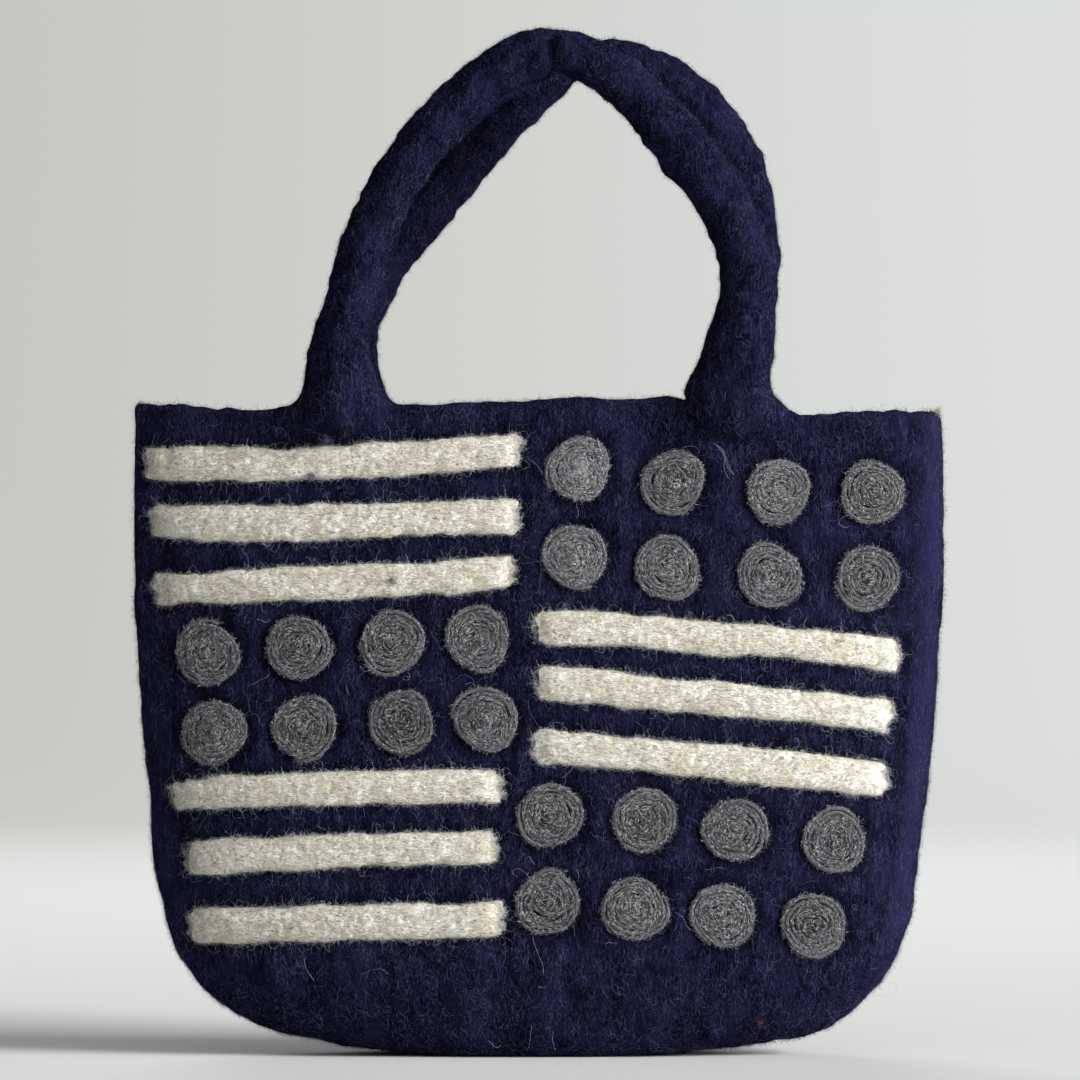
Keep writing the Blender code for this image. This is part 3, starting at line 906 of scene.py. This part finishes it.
def build_hair():
    """Loose wool over the whole bag, by side and by kind."""
    source = (SKIN, SKIN_TRIS, SKIN_NORMALS)
    middle = SKIN[SKIN_TRIS].mean(1)
    facing = SKIN_NORMALS[SKIN_TRIS].mean(1)
    pouch = PARTS["pouch"]
    outward = (facing[:, 1] * (middle[:, 1] - MIDDLE_Y)) > -0.1 * MM
    front = middle[:, 1] < MIDDLE_Y
    front_side = pouch[(outward & front)[pouch]]
    rear_side = pouch[(outward & ~front)[pouch]]
    border = pouch[(outward & (np.abs(facing[:, 1]) < 0.6))[pouch]]
    rim = pouch[(middle[:, 2] > RIM_Z - 4 * MM)[pouch]]
    inner = pouch[~outward[pouch]]
    # part, side, triangles, kind of hair, pieces, hairs in each piece
    plan = [("pouch", *row) for row in (
        ("front", front_side, "matted", 3, 33000), ("front", front_side, "loose", 2, 11000),
        ("front", front_side, "fuzz", 1, 26000), ("rear", rear_side, "matted", 2, 25000),
        ("rear", rear_side, "loose", 1, 8000), ("rear", rear_side, "fuzz", 1, 12000),
        ("rim", rim, "rim", 1, 7000), ("inner", inner, "matted", 1, 12000),
        ("border", border, "halo", 1, 15000),
    )]
    for part in HANDLES:
        for kind, count in (("short", 26000), ("curly", 8000), ("fuzz", 17000), ("halo", 8000)):
            plan.append((part, "hair", PARTS[part], kind, 1, count))
    for seed, (part, side, chosen, kind, pieces, count) in enumerate(plan):
        for number in range(1, pieces + 1):
            obj = surface_hair(f"{part}_{side}_{kind}_{number}", source, chosen, kind, count,
                               100 + 10 * seed + number, clear_of_trim if side == "front" else None)
            follow(obj, part)


# --- wool bars


def build_bar(bar, seed):
    """A strip of needled wool: crowned, with soft uneven edges that sink into the felt."""
    length = bar.right - bar.left
    columns, rows = int(length / (0.9 * MM)), 26
    spread = 1.35
    u = np.linspace(0, 1, columns)[:, None]
    v = np.sin(np.linspace(-1, 1, rows) * spread)[None, :] / math.sin(spread)
    x = bar.left + length * u

    def along(values):
        """Points spaced out along one axis, for a field that only runs that way."""
        return np.stack([values, values * 0, values * 0], axis=-1).reshape(-1, 3)

    bow = ripple(along(x), 60 * MM, seed)[:, None] * 0.25 * MM
    swell = 1 + 0.045 * ripple(along(x), 30 * MM, seed + 1)[:, None]
    from_end = np.minimum(u, 1 - u) * length
    corner, roundness = 4.6 * MM, 2.6
    to_corner = np.clip(1 - from_end / corner, 0, 1)
    half = bar.half * swell * (0.55 + 0.45 * (1 - to_corner ** roundness) ** (1 / roundness))
    edges = np.concatenate([along(x) + np.array([0, side, 0]) for side in (0.0, 1.0)])
    ragged = ripple(edges, 2.6 * MM, seed + 2).reshape(2, columns) * 0.12 * MM
    ragged += ripple(edges, 14 * MM, seed + 3).reshape(2, columns) * 0.30 * MM
    wobble = np.where(v < 0, ragged[0][:, None], ragged[1][:, None]) * v ** 2
    z = bar.middle(x) + bow + v * half + wobble
    crown = (1 - np.abs(v) ** 3) ** 0.6 * smooth_step(from_end / (7.5 * MM)) ** 0.85
    grain = np.stack([x + 0 * z, 0 * z + seed, z], axis=-1).reshape(-1, 3)
    pits = ripple(grain, 4.0 * MM, seed + 4, (1, 0, 1)).reshape(columns, rows) * 0.10 * MM
    skew = x + 1.0 * MM * ripple(along(z), 6 * MM, seed + 5).reshape(columns, rows) * to_corner
    top = FACE.lay(skew, z, -0.9 * MM + 2.0 * MM * crown + pits * crown)
    bottom = FACE.lay(skew, z, -1.6 * MM)
    verts = np.concatenate([top.reshape(-1, 3), bottom.reshape(-1, 3)])
    obj = mesh_object(f"{bar.name}_wool", verts, slab_tris(columns, rows), [WOOL])
    keep(obj, "rest", verts + np.array([0, seed * 10 * MM, 0]))
    inset = np.minimum((1 - np.abs(v)) * half, from_end).clip(0) / (1.8 * MM)
    keep(obj, "edge", np.tile(np.clip(inset, 0, 1).ravel(), 2))
    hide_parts(bar.name)
    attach(obj, "pouch")
    return top


def edge_loop(grid):
    """The points round the edge of a grid, in order."""
    return np.concatenate([grid[:, 0], grid[-1, 1:], grid[-2::-1, -1], grid[0, -2:0:-1]])


def slab_tris(columns, rows):
    """Triangles of a closed slab made of a top grid followed by a bottom grid."""
    index = np.arange(columns * rows).reshape(columns, rows)
    a, b, c, d = index[:-1, :-1], index[1:, :-1], index[1:, 1:], index[:-1, 1:]
    quads = np.stack([a, b, c, d], axis=-1).reshape(-1, 4)
    under = columns * rows
    rim = edge_loop(index)
    ahead = np.roll(rim, -1)
    sides = np.stack([rim, rim + under, ahead + under, ahead], axis=-1)
    return halved(np.concatenate([quads, quads[:, ::-1] + under, sides]))


def bar_hair(block, tops, seed):
    """Loose wool lying along the bars, and a fringe round them where their wool and the felt's mix."""
    rng = np.random.default_rng(seed)
    lying, fringe, loose = [], [], []

    def add(where, roots, grain, length, arch, sway, radius, stations, shares, lighter=0.0):
        count = len(roots)
        normal = FACE.normal(roots[:, 0], roots[:, 2])
        along = unit(grain - normal * (grain * normal).sum(1, keepdims=True)) + normal * 0.03
        path = wisps(roots, along, normal, length, arch, sway, rng, stations)
        chance = np.clip(rng.random(count) + lighter, 0, 0.999)
        tones = np.searchsorted(np.cumsum(shares), chance)
        where.append((path, rng.uniform(*radius, count) * MM, normal, tones))

    def pick(rim, count):
        """Random places on a bar's edge: the points, the way to the next point, and the felt's normals."""
        at = rng.integers(0, len(rim), count)
        return rim[at], rim[(at + 1) % len(rim)] - rim[at], FACE.normal(rim[at][:, 0], rim[at][:, 2])

    for top in tops:
        columns, rows = top.shape[:2]
        count = 5200
        i, k = rng.integers(1, columns - 1, count), rng.integers(1, rows - 2, count)
        roots = top[i, k] + (top[i + 1, k] - top[i, k]) * rng.random((count, 1))
        roots = roots + (top[i, k + 1] - top[i, k]) * rng.random((count, 1))
        grain = rng.normal(size=(count, 3)) * np.array([1.0, 0.1, 0.24])
        # painted light: the lower-left block's hair is picked paler, as if more light reached it
        tan_and_painted_light = ripple(roots, 5.5 * MM, seed, (1, 0, 0.55)) * 0.17 + BAR_TAN_AND_PAINTED_LIGHT[block]
        add(lying, roots, grain, (1.0, 3.2), (0.03, 0.20), (0.02, 0.16), (0.032, 0.060), 3,
            (0.52, 0.32, 0.16, 0, 0), tan_and_painted_light)

        rim = edge_loop(top)
        count = 4200
        spots, ahead, normal = pick(rim, count)
        outward = np.cross(unit(ahead), normal)
        centre = np.stack([spots[:, 0], spots[:, 1], np.full(count, top[..., 2].mean())], axis=1)
        outward = outward * np.sign(((spots - centre) * outward).sum(1, keepdims=True) + 1e-9)
        lift = rng.uniform(0.15, 1.15, (count, 1)) * MM
        roots = spots + ahead * rng.random((count, 1)) + outward * rng.normal(-0.45, 0.45, (count, 1)) * MM
        grain = unit(ahead) * rng.choice((-1, 1), (count, 1)) + outward * rng.normal(0.10, 0.45, (count, 1))
        add(fringe, roots + normal * lift, grain, (0.7, 2.2), (-0.4, 0.1), (0.08, 0.40), (0.013, 0.027), 4,
            (0.42, 0.14, 0.14, 0.06, 0.24))

        count = 300
        spots, ahead, normal = pick(rim, count)
        roots = spots + normal * rng.uniform(0.5, 1.4, (count, 1)) * MM
        grain = unit(ahead) * rng.choice((-1, 1), (count, 1)) + rng.normal(0, 0.45, (count, 3))
        add(loose, roots, grain, (2.0, 6.0), (-0.3, 0.6), (0.20, 0.50), (0.012, 0.021), 6, (0.2, 0, 0, 0, 0.8))

        spots, ahead, normal = pick(rim, count)
        roots = spots + normal * rng.uniform(0.9, 1.5, (count, 1)) * MM
        add(fringe, roots, rng.normal(size=(count, 3)), (1.2, 3.2), (-0.2, 0.3), (0.1, 0.4), (0.020, 0.034), 4,
            (0, 0, 0.12, 0.88, 0))
    for name, parts in ((f"{block}_hair", lying), (f"{block}_fringe", fringe), (f"{block}_wisps", loose)):
        obj = spindles(name, *(np.concatenate(values) for values in zip(*parts)), CREAM_HAIRS)
        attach(obj, "pouch")


def build_bars():
    """Every bar, and the loose wool of each block of bars."""
    blocks = {}
    for number, bar in enumerate(BARS):
        blocks.setdefault(bar.block, []).append(build_bar(bar, 300 + number * 10))
    for number, (block, tops) in enumerate(blocks.items()):
        bar_hair(block, tops, 500 + number)


# --- yarn coils

# Points in each turn of a coil
COIL_STEPS = 52


def coil_route(coil, rng):
    """The yarn's route on the face: a spiral that starts near the middle and isn't quite round."""
    pitch = 1.72 * MM
    turns = (coil.radius - 0.7 * MM) / pitch
    way = rng.choice((-1, 1))
    start = rng.uniform(0, 2 * math.pi)
    share = np.linspace(0.03, 1, int(turns * COIL_STEPS))
    turn = 2 * math.pi * turns * share
    wave = rng.uniform(0, 2 * math.pi, 6)
    out_of_round = 1 + 0.034 * np.sin(2 * turn + wave[0]) + 0.030 * np.sin(3 * turn + wave[1])
    wander = sum(np.sin(turn * f + p) for f, p in zip((2.37, 3.71, 5.13, 0.83), wave[2:]))
    radius = pitch * turn / (2 * math.pi) * out_of_round + 0.22 * MM * wander * (1 - share * 0.45)
    angle = start + way * turn
    drift = rng.normal(0, 0.6, 2) * MM * (1 - share)[:, None]
    return coil.x + radius * np.cos(angle) + drift[:, 0], coil.z + radius * np.sin(angle) + drift[:, 1]


def build_coil(coil, rng):
    """One length of yarn, coiled flat and pressed into the felt."""
    x, z = coil_route(coil, rng)
    sides, flatness, taper = 8, 0.66, 6
    normal = FACE.normal(x, z)
    lift = (-0.15 + 0.10 * np.sin(np.arange(len(x)) * 0.31) + rng.normal(0, 0.03, len(x))) * MM
    line = FACE.lay(x, z, lift)
    tangent = unit(np.gradient(line, axis=0))
    across = unit(np.cross(normal, tangent))
    up = np.cross(tangent, across)
    thick = (0.93 + 0.07 * np.sin(np.arange(len(x)) * 0.173 + rng.uniform(0, 6))) * MM
    thick[:taper] *= np.linspace(0.35, 1, taper)
    thick[-taper:] *= np.linspace(1, 0.35, taper)
    turns = 2 * math.pi * np.arange(sides) / sides
    ring = across[:, None] * np.cos(turns)[:, None] + up[:, None] * np.sin(turns)[:, None] * flatness
    verts = (line[:, None] + ring * thick[:, None, None]).reshape(-1, 3)
    verts = np.concatenate([verts, line[:1], line[-1:]])
    index = np.arange(len(x) * sides).reshape(len(x), sides)
    ahead = np.roll(index, -1, axis=1)
    ends = caps(index[0], ahead[0], len(verts) - 2) + caps(ahead[-1], index[-1], len(verts) - 1)
    faces = np.concatenate([halved(grid_quads(index, ahead)), ends])
    obj = mesh_object(f"{coil.name}_yarn", verts, faces, [YARN])
    far = np.concatenate([[0], np.cumsum(np.linalg.norm(np.diff(line, axis=0), axis=1))]) + rng.uniform(0, 10)
    twist = np.sin(turns)[None, :] * 2 + far[:, None] * 60
    around = np.tile(np.cos(turns) * 2, len(x)) + twist.ravel() * 0.2
    strand = np.stack([np.repeat(far, sides), around, np.repeat(rng.uniform(0, 50), len(x) * sides)], axis=1)
    keep(obj, "strand", np.concatenate([strand, strand[:1], strand[-1:]]))
    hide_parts(coil.name)
    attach(obj, "pouch")
    return line, normal, coil.tone


def coil_hair(block, coils, seed):
    """Strands of the yarn's own wool, running roughly with it, and a fringe of strands come loose."""
    rng = np.random.default_rng(seed)
    strands, fringe = [], []
    for line, normal, tone in coils:
        centre = line.mean(0)
        count, tail = 2500, 14
        at = rng.integers(0, len(line) - tail, count)
        ahead = unit(line[at + 1] - line[at])
        side = np.cross(normal[at], ahead)
        along = unit(ahead + side * rng.normal(0, 0.78, (count, 1)))
        inward = unit(centre - line[at])
        span = rng.uniform(0.8, 2.5, count) * MM
        bend = span ** 2 / (2 * np.maximum(np.linalg.norm(line[at] - centre, axis=1), 3 * MM))
        roots = line[at] + side * rng.uniform(-0.9, 0.9, (count, 1)) * MM
        roots = roots + normal[at] * rng.uniform(0.30, 0.68, (count, 1)) * MM
        path = wisps(roots, along, normal[at], span, (0.0, 0.28), (0.01, 0.12), rng, 3)
        path = path + inward[:, None] * bend[:, None, None] * np.linspace(0, 1, 3)[None, :, None] ** 2
        light, pale = 0.20 * tone, 0.27 * tone
        strands.append((path, rng.uniform(0.055, 0.115, count) * MM, normal[at],
                        rng.choice(4, count, p=(0.86 - light - pale, 0.14, light, pale))))

        count = 800
        at = rng.integers(len(line) - COIL_STEPS - 4, len(line), count)
        outward = unit(line[at] - centre)
        around = np.cross(normal[at], outward)
        grain = around * rng.choice((-1, 1), (count, 1)) + outward * rng.normal(0.15, 0.6, (count, 1))
        roots = line[at] + outward * rng.uniform(-0.4, 0.9, (count, 1)) * MM
        roots = roots + normal[at] * rng.uniform(0.0, 0.5, (count, 1)) * MM
        path = wisps(roots, unit(grain), normal[at], (0.8, 3.0), (-0.3, 0.3), (0.05, 0.3), rng, 3)
        fringe.append((path, rng.uniform(0.028, 0.055, count) * MM, normal[at],
                       rng.choice(4, count, p=(0.15, 0.35, 0.35, 0.15))))
    for name, parts in ((f"{block}_hair", strands), (f"{block}_fringe", fringe)):
        obj = spindles(name, *(np.concatenate(values) for values in zip(*parts)), GREY_HAIRS)
        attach(obj, "pouch")


def build_coils():
    """Every coil, and the loose wool of each block of coils."""
    rng = np.random.default_rng(700)
    blocks = {}
    for coil in COILS:
        blocks.setdefault(coil.block, []).append(build_coil(coil, rng))
    for number, (block, coils) in enumerate(blocks.items()):
        coil_hair(block, coils, 800 + number)


# --- stray hairs and specks


def curl(start, heading, length, bend, rng):
    """(x, z) points of a curly hair on the face, from a place and a heading."""
    x, z, turn = start[0], start[1], heading
    stations = 14
    step = length / (stations - 1)
    drift = rng.uniform(-1, 1) * bend
    points = []
    for _ in range(stations):
        points.append((x, z))
        drift = 0.75 * drift + rng.normal(0, bend)
        turn += drift
        x, z = x + math.cos(turn) * step, z + math.sin(turn) * step
    return points


def on_face_line(points, lift, rng):
    """A hair's points laid over the face, rising and dipping as it goes."""
    x, z = np.array(points).T
    z = np.clip(z, 2 * MM, RIM_Z - 3 * MM)
    wave = np.sin(np.linspace(0, rng.uniform(2, 6), len(x)) + rng.uniform(0, 6))
    return FACE.lay(x, z, lift + 0.5 * MM * wave)


# The few long hairs in the photograph, in mm: where (x, z), heading in radians, length, tone, how curly
PLACED_HAIRS = (
    ((-2.3, 53), -1.62, 19, 1, 0.06), ((-2.6, 15), -1.45, 12.5, 1, 0.10), ((6.4, 12), -1.6, 9, 1, 0.12),
    ((3, 31), -0.7, 4, 1, 0.2), ((-21, 8), -0.7, 7, 1, 0.2), ((-14, 49), -1.4, 9, 0, 0.1),
    ((74, 257), -0.35, 18, 1, 0.13), ((75, 256), -0.55, 15, 1, 0.13), ((73, 258), -0.45, 17, 1, 0.13),
    ((16, 232), -1.5, 7, 1, 0.1), ((-97, 43), -1.4, 12, 1, 0.13), ((-62, 35), 2.6, 14, 0, 0.13),
    ((-110, 262), 1.2, 9, 0, 0.2), ((-150, 250), 1.9, 9, 0, 0.2), ((-3, 262), -1.7, 14, 0, 0.13),
    ((1, 210), -1.5, 18, 0, 0.08), ((-4, 150), -1.6, 16, 0, 0.08), ((120, 230), 0.9, 12, 0, 0.2),
)


def build_strays():
    """Long curly hairs caught on the face, most of them near the trim."""
    rng = np.random.default_rng(900)
    lift = 1.5 * MM
    lines, picks, radii = [], [], []

    def add(points, tone, radius=0.05):
        lines.append(on_face_line(points, lift, rng))
        picks.append(tone)
        radii.append(radius * MM)

    for piece in TRIM:
        for _ in range(4):
            if isinstance(piece, Bar):
                x = rng.uniform(piece.left, piece.right)
                z = piece.middle(x) + rng.choice((-1, 1)) * (piece.half + rng.uniform(0, 3) * MM)
            else:
                turn = rng.uniform(0, 2 * math.pi)
                out = piece.radius + rng.uniform(0, 3) * MM
                x, z = piece.x + out * math.cos(turn), piece.z + out * math.sin(turn)
            add(curl((x, z), rng.uniform(0, 6.3), rng.uniform(5, 14) * MM, 0.28, rng),
                int(rng.random() < 0.30), rng.uniform(0.024, 0.038))
    for _ in range(90):
        start = (rng.uniform(-0.150, 0.150), rng.uniform(0.010, RIM_Z - 8 * MM))
        add(curl(start, rng.normal(math.pi / 2, 0.7), rng.uniform(4, 12) * MM, 0.25, rng), 0,
            rng.uniform(0.022, 0.034))
    for (x, z), heading, length, tone, bend in PLACED_HAIRS:
        add(curl((x * MM, z * MM), heading, length * MM, bend, rng), tone)
    outward = np.tile([0.0, -1.0, 0.0], (len(lines), 1))
    obj = spindles("stray_hair", np.stack(lines), np.array(radii), outward, np.array(picks), STRAY_HAIRS)
    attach(obj, "pouch")


def build_specks():
    """Lint caught on the face, and a wisp of straw at a corner: small tufts of short tangled fibres."""
    rng = np.random.default_rng(950)
    body = SKIN[(SKIN[:, 2] < RIM_Z + 8 * MM) & (SKIN[:, 1] < MIDDLE_Y)]
    corner = body[np.argmax(body[:, 0] + body[:, 2])] + np.array([0.7, -0.8, 0.7]) * MM
    tufts = (
        # name, x, z, reach in mm, fibres, material, lift in mm off the face
        ("lint", -89.0, 259.3, 2.1, 90, NAVY_HAIRS[3], 1.4),
        ("lint_low", -94.8, 243.2, 1.8, 80, NAVY_HAIRS[3], 1.7),
        ("green_speck", -60.5, 199.6, 1.0, 40, GREEN_SPECK, 1.9),
        ("rust_speck", 93.0, 15.0, 0.6, 20, RUST_SPECK, 1.4),
        ("straw_wisp", None, None, 2.0, 150, STRAW_SPECK, None),
    )
    for name, x, z, reach, count, material, lift in tufts:
        spots = rng.normal(0, reach / 2, (2, count)) * MM
        rise = rng.uniform(-0.5, 0.5, count) * MM
        if lift is None:
            roots = corner + np.stack([spots[0] * 0.8, rise * 2, spots[1]], axis=1)
            normal = np.tile([1.0, 0.0, 0.0], (count, 1))
        else:
            roots = FACE.lay(x * MM + spots[0], z * MM + spots[1], lift * MM + rise)
            normal = FACE.normal(roots[:, 0], roots[:, 2])
        along = unit(rng.normal(size=(count, 3)) * np.array([1, 0.3, 1]))
        lines = wisps(roots, along, normal, (0.7, 2.0), (-0.2, 0.3), (0.2, 0.5), rng, 5, 1.0)
        radius, tones = rng.uniform(0.05, 0.08, count) * MM, np.zeros(count, int)
        obj = spindles(name, lines, radius, normal, tones, [material])
        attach(obj, "pouch")


# --- studio


def paper_material(name, lit):
    """Pale paper. Near the bag it takes the light. Further off it glows, to soften the horizon; the glow is
    painted light, dimmer on the left and brighter on the right.
    """
    paper, black = (0.76, 0.77, 0.755), (0.0, 0.0, 0.0)
    left_glow, right_glow = (0.53, 0.53, 0.50), (0.76, 0.785, 0.77)
    m = Shade(name, roughness=0.9)
    place = m.node("ShaderNodeNewGeometry").outputs["Position"]
    x = m.node("ShaderNodeSeparateXYZ", {0: place}).outputs[0]
    # painted light and shade: the glow is dimmer on the left than on the right, as if the window lit it from
    # the right
    m.put(m.blend(m.remap(x, -1.3, 1.3), left_glow, right_glow), m.inputs["Emission Color"])
    if lit:
        reach = m.node("ShaderNodeVectorMath", {0: place}, operation="LENGTH").outputs["Value"]
        far = m.remap(reach, 0.5, 2.6)
        m.put(far, m.inputs["Emission Strength"])
        m.put(m.blend(far, paper, black), m.inputs["Base Color"])
    else:
        m.put((*black, 1), m.inputs["Base Color"])
        m.put(1.0, m.inputs["Emission Strength"])
    return m.material


def turned(name, profile, material):
    """A stage surface made by turning a profile of (radius, height) round the Z axis."""
    sides = 96
    verts = [(r * math.cos(2 * math.pi * k / sides), r * math.sin(2 * math.pi * k / sides), z)
             for r, z in profile for k in range(sides)]
    index = np.arange(len(verts)).reshape(-1, sides)
    data = bpy.data.meshes.new(name)
    data.from_pydata(verts, [], grid_quads(index, np.roll(index, -1, axis=1)).tolist())
    data.shade_smooth()
    data.materials.append(material)
    obj = placed(name, data)
    return obj


def build_studio():
    """A pale floor that sweeps up into a far round wall. The wall neither lights the bag nor shades it."""
    radius, fillet, wall_top, steps = 6.0, 2.0, 5.0, 12
    level = radius - fillet
    floor_radii = (0.0, 0.5, 1.0, level)
    turned("floor", [(r, FLOOR) for r in floor_radii], paper_material("floor_paper", True))
    sweep = [(level, FLOOR)]
    for i in range(1, steps + 1):
        turn = math.pi / 2 * i / steps
        sweep.append((level + fillet * math.sin(turn), FLOOR + fillet * (1 - math.cos(turn))))
    sweep.append((radius, wall_top))
    backdrop = turned("backdrop", sweep, paper_material("wall_paper", False))
    backdrop.visible_diffuse = False
    backdrop.visible_glossy = False
    backdrop.visible_shadow = False


def add_light(name, place, size, power, colour):
    """A soft light aimed at the middle of the bag."""
    data = bpy.data.lights.new(name, "AREA")
    data.size = size
    data.energy = power
    data.color = colour
    obj = placed(name, data)
    obj.location = place
    obj.rotation_euler = ((CAD_LOW + CAD_HIGH) / 2 - Vector(place)).to_track_quat("-Z", "Y").to_euler()
    obj.visible_camera = False


def build_lights():
    """A large window to the right that rakes the face, a dim room in front, and a low light for the back."""
    add_light("window", (7.75, -3.35, 2.85), 4.0, 1480, (1.0, 0.995, 0.985))
    add_light("behind", (-0.5, 3.0, 1.3), 2.0, 58, (0.97, 0.98, 1.0))
    world = bpy.data.worlds.new("room_light")
    w = Nodes(world)
    way = w.node("ShaderNodeSeparateXYZ", {0: w.node("ShaderNodeTexCoord").outputs["Generated"]})
    ahead = w.remap(way.outputs[1], 0.4, -0.6, 0.08, 0.48, "LINEAR")
    side = w.remap(way.outputs[0], -1.0, 1.0, 0.25, 1.30, "LINEAR")
    shader = w.tree.nodes["Background"]
    w.put((0.94, 0.96, 1.0, 1), shader.inputs["Color"])
    w.put(w.times(ahead, side), shader.inputs["Strength"])
    bpy.context.scene.world = world
    bpy.context.scene.view_settings.view_transform = "Standard"


def build_camera():
    """Square on to the face. The view's middle and width are the photograph's, in the bag's own size."""
    middle_x, middle_z, view_width = 0.8 * MM, 216.6 * MM, 453.4 * MM
    distance, face_ahead = 3.0, 19 * MM
    data = bpy.data.cameras.new("camera")
    data.sensor_width = 36
    data.lens = data.sensor_width * (distance - face_ahead) / view_width
    data.clip_end = 50
    obj = placed("camera", data)
    obj.location = (middle_x, -distance, middle_z)
    obj.rotation_euler = (math.pi / 2, 0, 0)
    bpy.context.scene.camera = obj


build_camera()
build_studio()
build_lights()
build_skin()
build_hair()
build_bars()
build_coils()
build_strays()
build_specks()
